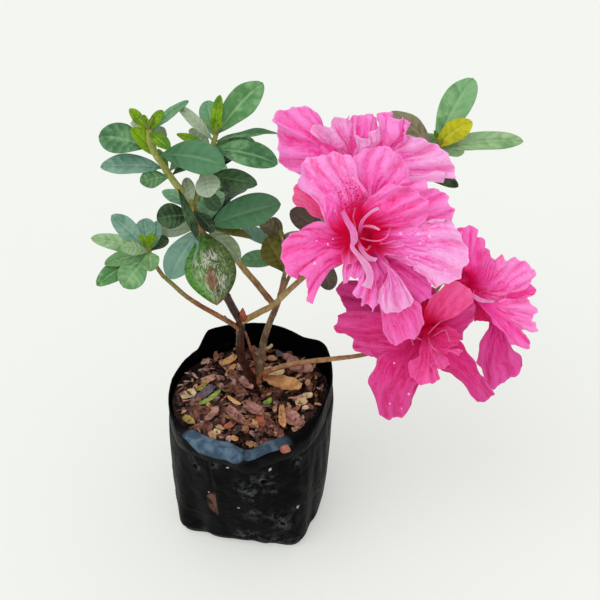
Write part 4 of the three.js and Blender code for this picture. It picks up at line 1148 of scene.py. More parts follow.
# route, foot radius and tip radius of the stem, then the leaves of the front, then the spare leaves:
# how many, start, arc, rise, length and place on the stem
# the kinds dark, pale and bright below carry painted shade and painted light
SHOOTS = {
    "leaves_upper_left": ([MAIN_FORK, [-30.6, 2, 199.9], [-38.4, 1, 216], [-39.3, 2, 225]], 1.6, 1.3, [
        (174, 15, 24, 0.59, 0.77, -40, "green"), (-173, 5, 28, 0.34, 0.51, -43, "teal"),
        (-151, 9, 15, 0.54, 0.38, -47, "green"), (157, 48, 13, 0.37, 0.96, -34, "young"),
        (17, 54, 12, 0.42, 0.96, 38, "young"), (-180, 54, 18, 0.41, 0.65, -53, "young"),
        (-51, -5, 16, 0.37, 0.96, 30, "young"), (46, 15, 25, 0.19, 0.95, 13, "green"),
        (62, -32, 15, 0.48, 0.95, 62, "pale"), (122, -5, 17, 0.29, 0.96, -35, "pale"),
        (-13, 0, 32, 0.47, 0.69, 44, "deep"), (-64, -41, 27, 0.17, 0.26, -5, "dark"),
        (157, 67, 12, 0.34, 0.44, -27, "young"),
    ], [(2, 40, 130, 2, 24, 0.4)]),
    "leaves_upper_middle": ([[-22, 3.6, 187], [-17.4, 5, 201.2], [-12.6, 8, 214], [-11, 8, 219.5]], 1.3,
                            1.1, [
        (46, 27, 34, 0.39, 0.95, 30, "fresh"), (66, 63, 20, 0.26, 0.9, 15, "young"),
        (104, 31, 20, 0.46, 0.92, -10, "green"), (156, 36, 22, 0.25, 0.88, -28, "pale"),
        (170, 29, 17, 0.26, 0.73, -27, "young"), (130, 12, 17, 0.37, 0.76, -32, "pale"),
        (1, 9, 29, 0.23, 0.87, 0, "green"), (-14, -3, 31, 0.38, 0.77, 47, "green"),
        (27, -7, 21, 0.34, 0.82, 47, "green"), (-78, -9, 19, 0.59, 0.49, 10, "pale"),
        (-17, 0, 26, 0.35, 0.37, 44, "dark"), (10, 0, 14, 0.27, 0.4, 31, "olive"),
        (-12, -52, 14, 0.53, 0.23, 34, "dark"),
    ], [(2, 50, 130, 0, 25, 0.45)]),
    "leaves_fork": ([[-21.2, 1, 180], [-22.5, -1.5, 184], [-22.5, -3, 190]], 0.9, 0.8, [
        (-163, 6, 17, 0.69, 0.31, -45, "dark"), (104, 32, 15, 0.39, 0.89, -9, "pale"),
        (-15, -46, 14, 0.49, 0.72, 37, "dark"),
    ], []),
    "leaves_leaning": ([LEANING_TIP, [-18, 5.5, 173], [-19.5, 2.5, 175.5]], 1, 0.9, [
        (4, 16, 36, 0.44, 0.29, 45, "deep"), (-78, -40, 38, 0.61, 0.74, 8, "marked"),
        (-126, -36, 29, 0.47, 0.89, -24, "teal"), (-171, -7, 22, 0.35, 0.89, -42, "pale"),
        (-27, -42, 22, 0.43, 0.37, 37, "pale"), (-15, -6, 21, 0.23, 0.12, 10, "olive"),
    ], [(2, 75, 130, 4, 26, 0.4)]),
    "leaves_left": ([LEFT_TIP, [-40, -9, 161.1], [-41.7, -10, 167.3], [-42.2, -10, 170.5]], 0.95, 0.85, [
        (150, 30, 24, 0.37, 0.96, -37, "teal"), (104, 38, 16, 0.58, 0.96, -10, "teal"),
        (177, 11, 27, 0.29, 0.94, -42, "bright"), (-159, -4, 21, 0.35, 0.91, -40, "bright"),
        (-150, 25, 15, 0.41, 0.94, -49, "bright"), (-153, -19, 28, 0.33, 0.88, -35, "fresh"),
        (-128, -22, 20, 0.64, 0.85, -27, "fresh"), (-80, 6, 18, 0.48, 0.94, 13, "bright"),
        (66, 42, 15, 0.43, 0.96, 15, "teal"), (45, 17, 11, 0.58, 0.94, 30, "dark"),
        (150, 61, 9, 0.36, 0.96, -33, "young"), (61, 70, 9, 0.34, 0.96, 17, "young"),
    ], []),
    "leaves_back": ([BACK_TIP, [18.9, 16, 147], [17, 16, 161]], 1.05, 0.8, [
        (177, 70, 24, 0.65, 0.04, -62, "olive"), (161, -10, 25, 0.36, 0.37, -46, "green"),
        (140, 24, 18, 0.4, 0.83, -33, "bronze"), (142, 0, 28, 0.26, 0.66, -37, "teal"),
        (112, 15, 14, 0.43, 0.95, -18, "bronze"),
    ], [(3, 25, 130, 6, 26, 0.6)]),
    "leaves_under_bloom": ([[33, 9.4, 148], [37, 13, 154], [38.5, 15, 161]], 0.9, 0.8, [
        (158, 34, 22, 0.51, 0.96, -41, "dull"), (165, -1, 22, 0.28, 0.8, -42, "pale"),
        (-67, -64, 18, 0.52, 0.43, 15, "dull"),
    ], [(3, 40, 130, -4, 25, 0.6)]),
    "leaves_top_right": ([[45.4, 16, 157.3], [59, 24, 167.6], [72.8, 28, 181.7], [83.7, 28, 195.2],
                          [89.1, 28, 202.5]], 1, 0.9, [
        (56, 38, 40, 0.36, 0.96, 24, "fresh"), (3, 42, 22, 0.45, 0.96, 53, "yellow"),
        (0, 9, 41, 0.23, 0.96, 45, "bright"), (142, 26, 28, 0.36, 0.96, -32, "bronze"),
        (-22, -10, 22, 0.31, 0.75, 34, "dark"), (26, -17, 18, 0.45, 0.96, 48, "bright"),
    ], [(2, 60, 130, 8, 26, 0.72), (4, 45, 130, -4, 27, 0.22)]),
    "leaves_right": ([[90.8, 20.3, 116.6], [95, 27, 123], [97, 31, 131]], 0.85, 0.8, [
        (150, 26, 27, 0.44, 0.9, 0, "dark"), (20, 14, 27, 0.44, 0.96, 0, "dark"),
        (85, 24, 28, 0.44, 0.96, 0, "green"),
    ], [(4, 35, 130, -6, 26, 0.55)]),
    "leaves_rear_left": ([[-15.2, 1.3, 152], [-16, 12, 158], [-18, 24, 165], [-19, 30, 171]], 0.95, 0.8, [
        (70, 30, 24, 0.44, 0.96, 0, "green"),
    ], [(4, 55, 105, 4, 26, 0.86), (2, 75, 90, -8, 24, 0.55)]),
    "leaves_rear_right": ([[12.8, 13.5, 118], [19, 24, 128], [26, 34, 140], [30, 39, 148]], 0.95, 0.8, [
        (40, 32, 24, 0.44, 0.96, 0, "green"),
    ], [(4, -30, 135, 5, 27, 0.88), (2, 20, 80, -8, 25, 0.55)]),
}
BUDDING = ("leaves_upper_left", "leaves_upper_middle", "leaves_left", "leaves_top_right",
           "leaves_rear_left", "leaves_rear_right")


def spare_leaves(count, start, arc, rise, length, at):
    """Leaves by the golden angle: the i-th has heading start + (i x 137.5 within the arc), and its
    rise, length and place sway by sines of i."""
    # every other spare leaf is of the dark kind, painted shade
    return [(start + (i * GOLDEN_ANGLE) % arc, rise + 9 * math.sin(2.4 * i), length + 3 * math.cos(1.7 * i),
             LEAF_WIDTH, at + 0.05 * math.sin(1.3 * i), 0, "green" if i % 2 else "dark")
            for i in range(count)]


print("leaves listed one by one:", sum(len(rows) for _, _, _, rows, _ in SHOOTS.values()))

# %% Grow the shoots
STEM_POINTS = 101
leaves = {kind: [] for kind in LEAF_FINISHES}
twigs = []
buds = []
for order, (name, (route, foot, tip, rows, spares)) in enumerate(SHOOTS.items()):
    stem = smooth_route(route, STEM_POINTS)
    twigs.append(tubes(limb_grid(route, foot, tip, 0, 60 + order, step=0.6)[None]))
    grown = rows + [row for spare in spares for row in spare_leaves(*spare)]
    for number, (heading, rise, length, width, at, roll, kind) in enumerate(grown):
        start = stem[round((STEM_POINTS - 1) * at)]
        seed = 100 * order + number
        blade = leaf_sheet(start, heading, rise, length, width, roll, seed, pointed=kind == "marked")
        leaves[kind].append(blade)
    along = unit(stem[-1] - stem[-8])
    heading = math.degrees(math.atan2(along[1], along[0]))
    buds.append(bud_grid(stem[-1] - 0.5 * along, along, 4.2, 1.15))
    for number in range(4 if name in BUDDING else 0):
        small = leaf_sheet(stem[-1], heading + 90 * number + 30, 58, 6.5 + number % 3, 0.36, 0, 900 + number)
        leaves["young"].append(small)

for order, (kind, grids) in enumerate(leaves.items()):
    blades = sheets(np.array(grids), LEAF_THICKNESS)
    one_each = np.random.default_rng(700 + order).uniform(0, 1, len(grids))
    stored = {"leaf": np.repeat(one_each, len(blades["points"]) // len(grids))}
    replaced = list(SHOOTS) if kind == "green" else []
    piece(f"leaves_{kind}", [blades], LEAF_FINISHES[kind], replaced, stored)

green_stem = bark_finish("green shoot bark", (112, 92, 48), (160, 140, 84), (128, 134, 58),
                         (176, 180, 96), 0.185, 0.45)
piece("twigs", twigs, [green_stem])
bud_finish = leaf_finish("leaf bud", (128, 130, 50), (180, 180, 70), (170, 140, 60), (150, 110, 70), 0.45)
piece("leaf_buds", [tubes(np.array(buds))], [bud_finish])

# %% [markdown]
# ## Blooms
# A double azalea bloom is a short tube that opens into wide ruffled petals, with folds of petal,
# ribbons and a few curled stamens in its heart. No two petals are alike, and a rule that deals the
# same petal out by the compass gives a daisy. So each petal is stretched between three edges of its
# own, its two sides and its far margin, like cloth on a bent wire, then arched, pleated and ruffled.

# %% A petal stretched between its edges
PETAL_ROWS = 57
PETAL_COLUMNS = 49
PETAL_THICKNESS = 0.3
TUBE_LENGTH = 20
THROAT = 11  # from the foot of the tube to where the claws of the petals leave it
CLAW_RADIUS = 2.5  # of the ring on which the claws of the petals stand in the throat
OUT = direction(-90, 37)  # the tables of edges are given right of, above and out of the heart
ABOVE = direction(90, 53)
RIGHT = np.array([1.0, 0, 0])


def places(numbers, centre):
    """Points from a flat row of half millimetres: right, above, out, right, above, out ..."""
    right, above, out = 0.5 * np.array(numbers, float).reshape(-1, 3).T[..., None]
    return np.array(centre, float) + right * RIGHT + above * ABOVE + out * OUT


def bloom_axes(heading, rise):
    """The bloom's axis, the direction up across it, and the one to its right."""
    axis = direction(heading, rise)
    up = unit(np.array([0, 0, 1]) - axis * axis[2])
    return axis, up, np.cross(up, axis)


def throat_of(bloom):
    axis = direction(bloom["heading"], bloom["rise"])
    return np.array(bloom["centre"], float) + (THROAT - TUBE_LENGTH) * axis


def length_of(line):
    return np.linalg.norm(np.diff(line, axis=0), axis=1).sum()


print("out of the heart is", OUT.round(2), "and above it", ABOVE.round(2))


# %% A petal as a sheet
def petal_sheet(first, far, second, arch, frill, seed):
    """One petal between its first side, its far margin and its second side.

    At (s, v), s from the claw to the far margin and v from the first side to the second, it is the
    mix of the sides by v, plus s ** 1.3 x (the far margin - the straight line between its ends).
    Square to that surface it is lifted: arched by arch x sin(pi s) x (1 - (2v - 1) ** 2), pleated by
    waves of v that grow with s, ruffled by waves along the margins, 6 to 13 mm long, and creased
    where the sum of eight plane waves, 6 to 13 mm long in random directions, passes zero.
    """
    random = np.random.default_rng(seed)
    phase = random.uniform(0, 2 * np.pi, 10)
    s = np.linspace(0, 1, PETAL_ROWS)[:, None]
    v = np.linspace(0, 1, PETAL_COLUMNS)[None, :]
    one, other = smooth_route(first, PETAL_ROWS)[:, None], smooth_route(second, PETAL_ROWS)[:, None]
    margin = smooth_route(far, PETAL_COLUMNS)[None, :]
    straight = lerp(margin[:, :1], margin[:, -1:], v[..., None])
    surface = lerp(one, other, v[..., None]) + (s**1.3)[..., None] * (margin - straight)
    ahead = unit(np.gradient(surface, axis=0) + 1e-9)
    normal = unit(np.cross(np.gradient(surface, axis=1), ahead) + 1e-9)
    normal = normal * np.sign((normal @ OUT).mean())
    wide, long = length_of(far), 0.5 * (length_of(first) + length_of(second))
    off_middle = np.abs(2 * v - 1)
    near_far = smoothstep(s, 0.5, 1.0)
    near_side = off_middle**5 * smoothstep(s, 0.3, 0.65)
    turns = 2 * np.pi * v
    pleats = s**1.3 * (0.55 * np.sin(2.6 * turns + phase[0] + 0.8 * s) + 0.15 * np.sin(11 * turns + phase[2])
                       + 0.35 * np.sin(5.3 * turns + phase[1] + 1.6 * s))
    ruffles = (1.9 * near_far * np.sin(wide / 13 * turns + phase[3])
               + 1.0 * near_far**2 * np.sin(wide / 6.5 * turns + phase[4])
               + 1.6 * near_side * np.sin(2 * np.pi * long / 12 * s + phase[5] + np.pi * (v > 0.5)))
    heading, wave = random.uniform(-1.2, 1.2, 8), 2 * np.pi / random.uniform(6, 13, 8)
    travelled = (s * long)[..., None] * np.sin(heading) + (v * wide)[..., None] * np.cos(heading)
    swell = np.sin(wave * travelled + random.uniform(0, 2 * np.pi, 8)).sum(-1) / 2
    creases = 0.55 * smoothstep(s, 0.1, 0.6) * (0.6 - np.sqrt(swell**2 + 0.02))
    lift = arch * np.sin(np.pi * s) * (1 - off_middle**2) + frill * (pleats + ruffles + creases)
    scallops = 0.45 * np.sin(wide / 6.5 * turns + phase[6]) + 0.16 * np.sin(wide / 2.9 * turns + phase[8])
    scallops = frill * near_far**3 * scallops
    return surface + lift[..., None] * normal + scallops[..., None] * ahead


def ridges(petal):
    """How far each point of a petal stands out of the mean of the points beside it in its row."""
    reach, columns = 4, petal.shape[1]
    padded = np.pad(petal, ((0, 0), (reach, reach), (0, 0)), mode="reflect", reflect_type="odd")
    mean = sum(padded[:, step:step + columns] for step in range(2 * reach + 1)) / (2 * reach + 1)
    above = (petal - mean) @ OUT
    return np.concatenate([above.ravel(), above[1:-1, 1:-1].ravel()])


def petal_from_table(bloom, row, seed):
    """A petal of the table, with its claw drawn in towards the middle of the throat."""
    _, arch, frill, first, far, second = row
    first, far, second = (places(numbers, bloom["centre"]) for numbers in (first, far, second))
    for side in (first, second):
        side[0] = throat_of(bloom) + CLAW_RADIUS * unit(side[0] - throat_of(bloom))
    return petal_sheet(first, np.vstack([first[-1:], far, second[-1:]]), second, arch, frill, seed)


print("points of a petal:", PETAL_ROWS * PETAL_COLUMNS)

# %% Where the four blooms stand
BLOOMS = {
    "bloom_front": dict(centre=[52, -16, 181], heading=-98, rise=32, start=FRONT_TIP, stalk=[[50, 10, 163]],
                        crimson=1.05),
    "bloom_top": dict(centre=[50, 9, 196], heading=-92, rise=52, start=FRONT_TIP, stalk=[[46.5, 18, 167]],
                      crimson=0.7),
    "bloom_low": dict(centre=[86, -7, 126], heading=-95, rise=24, start=RIGHT_TIP, stalk=[[89.5, 16, 117]],
                      crimson=0.75),
    "bloom_right": dict(centre=[109, 6, 139.5], heading=-56, rise=18, start=RIGHT_TIP, stalk=[[94, 21, 126]],
                        crimson=0.5),
}
print("blooms:", ", ".join(BLOOMS))

# %% Edges of the petals
# tint, arch, frill, then in half millimetres the first side from the claw, the far margin between
# its ends, and the second side
PETALS = {
    "bloom_front": [
        # upper left, speckled
        ("speckled", 2.5, 1.0, [-8, 7, -22, -21, 4, -12, -31, 13, -4, -33, 25, 0, -43, 36, 2, -51, 43, 4,
         -54, 52, 6],
         [-54, 59, 6, -49, 67, 4, -42, 72, 2, -33, 72, 0, -25, 76, -2, -17, 75, -2, -10, 72, -2],
         [1, 19, -22, 4, 31, -16, 7, 39, -8, 2, 46, -6, -3, 57, -4, -7, 67, -4]),
        # left, behind
        ("coral", 1, 0.7, [-8, 3, -26, -26, 16, -22, -42, 21, -18, -49, 28, -16, -57, 29, -14],
         [-60, 37, -12, -58, 44, -10],
         [-6, 11, -26, -21, 31, -20, -37, 44, -14, -53, 51, -10]),
        # top, behind
        ("plain", 2, 0.9, [2, 21, -26, 5, 35, -18, -1, 49, -14, -6, 60, -12, -7, 70, -10, 0, 78, -10],
         [8, 80, -8, 15, 82, -6, 21, 82, -4, 28, 79, -6, 35, 74, -8, 41, 67, -8],
         [9, 21, -26, 15, 33, -18, 23, 40, -14, 35, 44, -12, 44, 50, -10, 45, 59, -8]),
        # right, behind
        ("plain", 1, 1.1, [7, 23, -26, 15, 35, -16, 27, 44, -12, 38, 49, -10, 47, 51, -8],
         [58, 51, -6, 63, 45, -8, 71, 43, -6, 78, 37, -6, 80, 30, -6, 84, 23, -6],
         [9, 14, -26, 23, 12, -18, 41, 10, -14, 63, 10, -10, 79, 15, -6]),
        # upper right, in front
        ("hot", 3.5, 1.0, [1, 16, -24, 2, 27, -14, 7, 34, -6, 12, 39, 0, 21, 45, 4, 32, 47, 6],
         [42, 45, 6, 49, 40, 6, 58, 33, 6, 59, 24, 4],
         [5, 7, -24, 17, 6, -12, 31, 7, -6, 46, 8, -2, 57, 14, 2]),
        # right, large
        ("pale", 3, 0.9, [5, 7, -26, 20, 9, -12, 36, 9, -4, 51, 12, 0, 61, 16, 2, 71, 15, 4],
         [78, 16, 4, 84, 8, 6, 89, -2, 8, 94, -13, 8, 94, -21, 8, 88, -30, 8, 86, -36, 8, 76, -40, 6, 66,
          -43, 6],
         [7, -6, -26, 20, -13, -14, 34, -19, -6, 46, -24, 0, 53, -31, 2, 60, -39, 4]),
        # lower right, shaded
        ("shade", 1, 1.5, [10, 0, -26, 23, -8, -18, 38, -12, -14, 52, -21, -12, 61, -31, -12],
         [65, -42, -14, 63, -51, -16, 55, -57, -18],
         [5, -7, -26, 15, -24, -20, 28, -38, -18, 46, -54, -18]),
        # bottom, long
        ("rose", 2, 0.8, [3, -8, -24, 10, -26, -16, 15, -41, -12, 18, -57, -12, 21, -74, -16, 28, -90, -20],
         [33, -96, -20, 41, -91, -18, 49, -88, -18, 55, -83, -16],
         [9, -4, -24, 23, -20, -14, 34, -37, -10, 47, -52, -10, 55, -60, -10, 58, -74, -14]),
        # bottom fan
        ("pale", 2, 0.9, [6, -7, -18, 16, -17, -6, 23, -26, 0, 22, -37, 4, 17, -47, 6, 15, -56, 6],
         [19, -63, 6, 24, -66, 6, 31, -65, 6, 38, -63, 6, 44, -59, 4],
         [12, -6, -18, 21, -15, -6, 28, -26, 0, 36, -36, 2, 42, -46, 4, 47, -54, 4]),
        # lower middle
        ("plain", 1.5, 1.3, [-7, -4, -20, -12, -15, -8, -15, -24, -4, -17, -37, 0],
         [-9, -38, 2, -3, -36, 4],
         [-1, -4, -20, 2, -14, -8, 5, -23, 0, 3, -33, 4]),
        # lower left
        ("rose", 3, 1.0, [-6, 11, -24, -16, 5, -14, -25, 7, -6, -33, 14, 0, -42, 14, 2],
         [-53, 7, 4, -62, 3, 6, -68, -5, 6, -69, -15, 6, -67, -26, 6, -61, -34, 6, -54, -31, 6, -49, -36, 4,
          -46, -47, 2, -47, -54, 2],
         [-6, -8, -24, -14, -21, -12, -24, -26, -4, -32, -37, 0, -38, -48, 2, -42, -59, 2]),
        # frilled bit below
        ("plain", 0.5, 1.2, [6, -14, -16, 2, -26, 2, -1, -37, 8, -8, -48, 10],
         [-4, -53, 10, 0, -54, 10, 1, -59, 10, 8, -59, 8, 10, -65, 8],
         [12, -13, -16, 11, -28, 2, 14, -42, 6, 15, -58, 8]),
        # inner fold, right of the heart
        ("hot", 1, 1.2, [7, 3, -22, 16, -1, -8, 25, -2, 0, 31, 0, 4],
         [37, -5, 4, 38, -11, 2, 33, -16, 2],
         [7, -4, -22, 15, -10, -10, 21, -16, 0, 28, -18, 2]),
        # inner fold, below
        ("shade", 1, 1.3, [3, -6, -22, 4, -17, -6, 7, -26, 2, 12, -33, 4],
         [17, -39, 4, 21, -33, 4],
         [10, -4, -22, 15, -12, -8, 19, -19, 0, 23, -26, 4]),
        # inner fold, left
        ("hot", 1, 1.0, [-6, 2, -24, -13, -5, -12, -16, -12, -4, -16, -21, 0],
         [-11, -25, 2, -5, -23, 4],
         [0, 0, -24, -1, -6, -12, -2, -12, -2, -2, -18, 4]),
    ],
    "bloom_top": [
        # far left, large
        ("plain", 2.5, 1.1, [-3, 15, -26, -21, 13, -18, -38, 8, -12, -51, 4, -8],
         [-60, 9, -6, -67, 18, -4, -69, 27, -2, -68, 35, 0, -68, 44, 0, -75, 50, 2, -70, 60, 0, -61, 63, 0,
          -51, 66, -2, -41, 65, -2, -33, 60, -4],
         [1, 21, -26, -14, 31, -16, -25, 41, -10, -34, 52, -6]),
        # upper left
        ("pale", 3, 1.1, [-3, 19, -22, -16, 28, -10, -29, 34, -2, -40, 42, 2],
         [-33, 50, 2, -24, 47, 0, -19, 53, 0, -12, 56, 0],
         [2, 20, -22, -1, 33, -12, -3, 45, -6, -4, 57, -2]),
        # upper middle
        ("plain", 3, 1.1, [-2, 18, -22, -6, 29, -8, -7, 42, 0, -5, 53, 2],
         [3, 59, 0, 11, 58, 0, 17, 59, 0],
         [5, 19, -22, 9, 27, -8, 19, 35, 0, 22, 43, 2, 21, 52, 2]),
        # rolled rim
        ("pale", 0.5, 0.8, [2, 23, -10, 0, 35, 6, -3, 45, 12],
         [2, 39, 13, 8, 35, 14, 14, 37, 14, 18, 43, 12],
         [8, 23, -10, 14, 27, 6, 22, 36, 10, 22, 51, 10]),
        # upper right, folded
        ("plain", 2, 1.5, [5, 21, -24, 13, 30, -10, 21, 41, -2, 21, 53, 0],
         [24, 58, 0, 29, 55, 4, 33, 59, 0, 38, 55, 4, 44, 55, 0, 51, 52, 0],
         [18, 19, -24, 33, 23, -12, 43, 31, -6, 44, 38, -4, 47, 45, -2]),
        # right, large
        ("pale", 3, 0.9, [8, 21, -24, 26, 28, -14, 38, 34, -8, 45, 40, -6],
         [57, 39, -6, 69, 34, -4, 79, 29, -4, 86, 20, -2, 90, 11, -2, 91, 1, 0, 84, 4, 0],
         [8, 11, -24, 28, 5, -16, 44, 0, -8, 60, -2, -4, 79, -1, 0]),
        # below, hidden
        ("plain", 1, 1.0, [-6, 17, -26, -17, 7, -22, -26, -2, -22],
         [-12, -11, -24, 7, -14, -24],
         [9, 15, -26, 17, 7, -22, 25, -7, -24]),
    ],
    "bloom_low": [
        # left, behind
        ("shade", 1, 0.7, [1, -13, -28, -33, 1, -20, -61, 7, -16, -76, 11, -14],
         [-81, 23, -12, -86, 33, -10, -81, 40, -10],
         [3, -5, -28, -23, 23, -20, -45, 38, -16, -67, 42, -12]),
        # left
        ("plain", 3, 0.9, [0, -9, -24, -22, 3, -10, -48, 11, -4, -71, 13, 0],
         [-81, 10, 2, -86, 4, 4, -87, -5, 4, -77, -9, 4, -72, -15, 4, -68, -22, 4],
         [0, -20, -24, -19, -28, -12, -36, -32, -4, -50, -29, 2, -56, -22, 4]),
        # bottom
        ("plain", 3, 0.9, [-4, -21, -24, -22, -25, -10, -38, -27, -2, -46, -32, 2, -49, -40, 4, -55, -51, 4,
         -54, -61, 4, -48, -74, 2],
         [-45, -84, 2, -38, -91, 2, -27, -90, 0, -19, -85, 0],
         [6, -24, -24, 5, -37, -10, -2, -50, -2, -10, -63, 0, -14, -77, 0]),
        # small, pale, in front
        ("rose", 1.5, 1.1, [0, -26, -18, -9, -31, -2, -17, -35, 6, -21, -42, 8],
         [-16, -49, 8, -8, -56, 8, 0, -58, 8, 5, -55, 8, 6, -50, 8, 11, -53, 6],
         [6, -26, -18, 9, -33, -2, 10, -39, 4, 11, -46, 6]),
        # lower right, rolled
        ("plain", 4.5, 0.6, [4, -13, -24, 20, -10, -10, 33, -17, -2, 39, -27, 2, 47, -39, 4, 55, -51, 6, 60,
         -62, 6],
         [64, -67, 6, 58, -71, 6, 53, -75, 4],
         [4, -24, -24, 12, -41, -10, 25, -48, -4, 35, -57, -2, 43, -67, 0, 48, -74, 2]),
        # upper right, coral
        ("coral", 3, 0.7, [0, -11, -24, -2, 8, -8, 2, 22, 0, 9, 33, 6],
         [19, 38, 6, 28, 40, 6, 38, 35, 6, 43, 27, 6],
         [6, -11, -24, 17, 2, -6, 30, 9, 2, 43, 20, 6]),
        # right
        ("plain", 2, 0.7, [4, -7, -26, 20, 7, -10, 33, 15, -6, 46, 21, -4],
         [47, 10, -4, 44, 2, -6, 39, -5, -6],
         [6, -16, -26, 17, -18, -14, 25, -18, -8, 32, -12, -6]),
        # top, behind
        ("shade", 1, 0.9, [-3, -11, -28, -16, 5, -20, -22, 23, -16],
         [-14, 30, -16, -3, 34, -16],
         [7, -7, -28, 10, 13, -20, 11, 34, -14]),
        # inner fold
        ("hot", 1.5, 1.2, [4, -10, -20, 12, -4, -6, 20, -2, 0, 28, -6, 2],
         [32, -14, 2, 30, -21, 2],
         [4, -20, -20, 8, -27, -6, 15, -29, 0, 22, -25, 2]),
        # inner fold, below
        ("rose", 1, 1.2, [4, -18, -18, 6, -27, -4, 7, -36, 2, 10, -44, 4],
         [20, -40, 6, 29, -34, 6],
         [7, -16, -18, 15, -20, -4, 24, -23, 2, 33, -27, 4]),
    ],
    "bloom_right": [
        # top left, frilled
        ("plain", 1, 1.0, [2, -7, -24, -10, 13, -12, -13, 30, -6, -11, 45, 0],
         [-9, 49, 2, -15, 52, 4, -9, 56, 4, 2, 55, 2, 0, 48, 0, 8, 45, 0, 12, 40, 0],
         [12, -7, -24, 12, 7, -12, 12, 20, -4, 12, 31, 0]),
        # top, narrow
        ("rose", 2, 1.0, [6, -7, -22, 4, 9, -4, 5, 22, 4, 10, 33, 6],
         [14, 32, 6, 16, 27, 6],
         [13, -7, -22, 16, 3, -4, 19, 12, 2, 18, 22, 4]),
        # upper right
        ("pale", 3, 1.2, [7, -5, -22, 9, 9, -8, 13, 18, -2, 19, 24, 2],
         [26, 26, 4, 33, 24, 2, 39, 26, 4, 46, 22, 4, 55, 17, 4, 58, 8, 4],
         [11, -13, -22, 24, -15, -8, 38, -7, 0, 54, 4, 4]),
        # right, middle
        ("rose", 1.5, 1.2, [10, -9, -24, 27, -3, -12, 41, 1, -6, 53, 5, -2],
         [58, -3, -2, 56, -10, -2],
         [10, -15, -24, 27, -18, -12, 40, -18, -6, 49, -15, -2]),
        # lower right
        ("pale", 3, 1.2, [5, -11, -20, 20, -15, -2, 36, -14, 4, 48, -14, 6],
         [54, -18, 6, 59, -25, 6, 54, -35, 4, 55, -39, 4, 60, -42, 4, 55, -46, 4],
         [5, -18, -20, 20, -28, -4, 36, -38, 2, 48, -44, 4]),
        # lower edge, rolled
        ("rose", 2, 0.9, [3, -9, -16, 16, -19, 6, 31, -32, 10, 41, -40, 10, 48, -50, 10],
         [53, -57, 10, 50, -61, 10, 41, -59, 10],
         [3, -15, -16, 13, -28, 4, 24, -41, 6, 30, -50, 8, 37, -55, 8]),
        # bottom, large
        ("deep", 3, 0.9, [8, -17, -28, 17, -30, -18, 13, -46, -14, 7, -59, -12, 6, -75, -10],
         [11, -88, -10, 18, -100, -10, 25, -98, -10, 30, -94, -10, 37, -91, -10, 45, -85, -10],
         [12, -11, -28, 28, -32, -18, 36, -50, -12, 39, -62, -10, 47, -68, -10, 48, -77, -10]),
        # left, below, in shade
        ("deepest", 1, 0.6, [2, -13, -26, 3, -20, -16, 2, -28, -14, 2, -36, -12],
         [11, -35, -12, 20, -39, -12],
         [10, -11, -26, 17, -19, -18, 24, -30, -14, 30, -42, -12]),
        # left, behind
        ("deep", 1, 0.9, [2, -13, -26, -8, -5, -20, -15, 5, -16],
         [-13, 17, -14, -8, 26, -12],
         [10, -5, -26, 7, 13, -18, 2, 30, -12]),
    ],
}
# narrow ribbons of petal, first side and second side in half millimetres
RIBBONS = {
    "bloom_front": [
        ([-2, 5, -18, -11, 16, -8, -17, 22, 6, -14, 13, 12, -10, 5, 16, -9, -3, 16, -9, -10, 14, -3, -18,
         14, 2, -27, 14, 5, -35, 12, 0, -42, 12],
         [0, 7, -18, -9, 17, -8, -14, 25, 6, -10, 16, 12, -4, 6, 16, -3, -3, 16, -6, -8, 14, 0, -15, 14, 8,
          -24, 14, 11, -34, 12, 9, -45, 12]),
        ([0, 1, -16, -2, 5, 2, 0, 14, 8, 5, 20, 12, 10, 24, 14, 15, 26, 14],
         [2, 1, -16, 1, 5, 2, 3, 14, 8, 7, 19, 12, 11, 22, 14, 16, 24, 14]),
        ([1, 6, -16, 2, 10, 4, 7, 11, 8, 12, 10, 10, 17, 7, 10],
         [3, 4, -16, 2, 9, 4, 7, 9, 8, 11, 8, 10, 16, 6, 10]),
        ([1, 1, -16, 0, -5, 6, 3, -11, 10, 8, -16, 10, 15, -18, 10],
         [-1, -1, -16, -2, -8, 6, 1, -14, 10, 6, -20, 10, 13, -21, 10]),
    ],
    "bloom_right": [
        ([3, -6, -16, -2, -11, 4, 3, -16, 8, 10, -17, 8, 17, -17, 8],
         [4, -4, -16, -1, -8, 4, 4, -12, 8, 12, -15, 8, 18, -15, 8]),
    ],
}

# %% [markdown]
# ## Petal skin
# A petal is deep crimson at its claw, hot pink in its blade and pale at its thin margin, with veins
# that fan out from the claw, and it is crumpled like crepe, with painted highlights on its ridges and
# painted shade in its folds. The fan comes for free, because the sheet's own v runs that way: noise
# that is stretched along s gives streaks and fine veins. Every petal has a number, and the noise
# takes it as a fourth coordinate, so that no two petals have the same veins. A thin petal also lets
# light through, which a little glow in its own colour gives.

# %% Finish of the petals
SPECKLES = 880  # in a metre


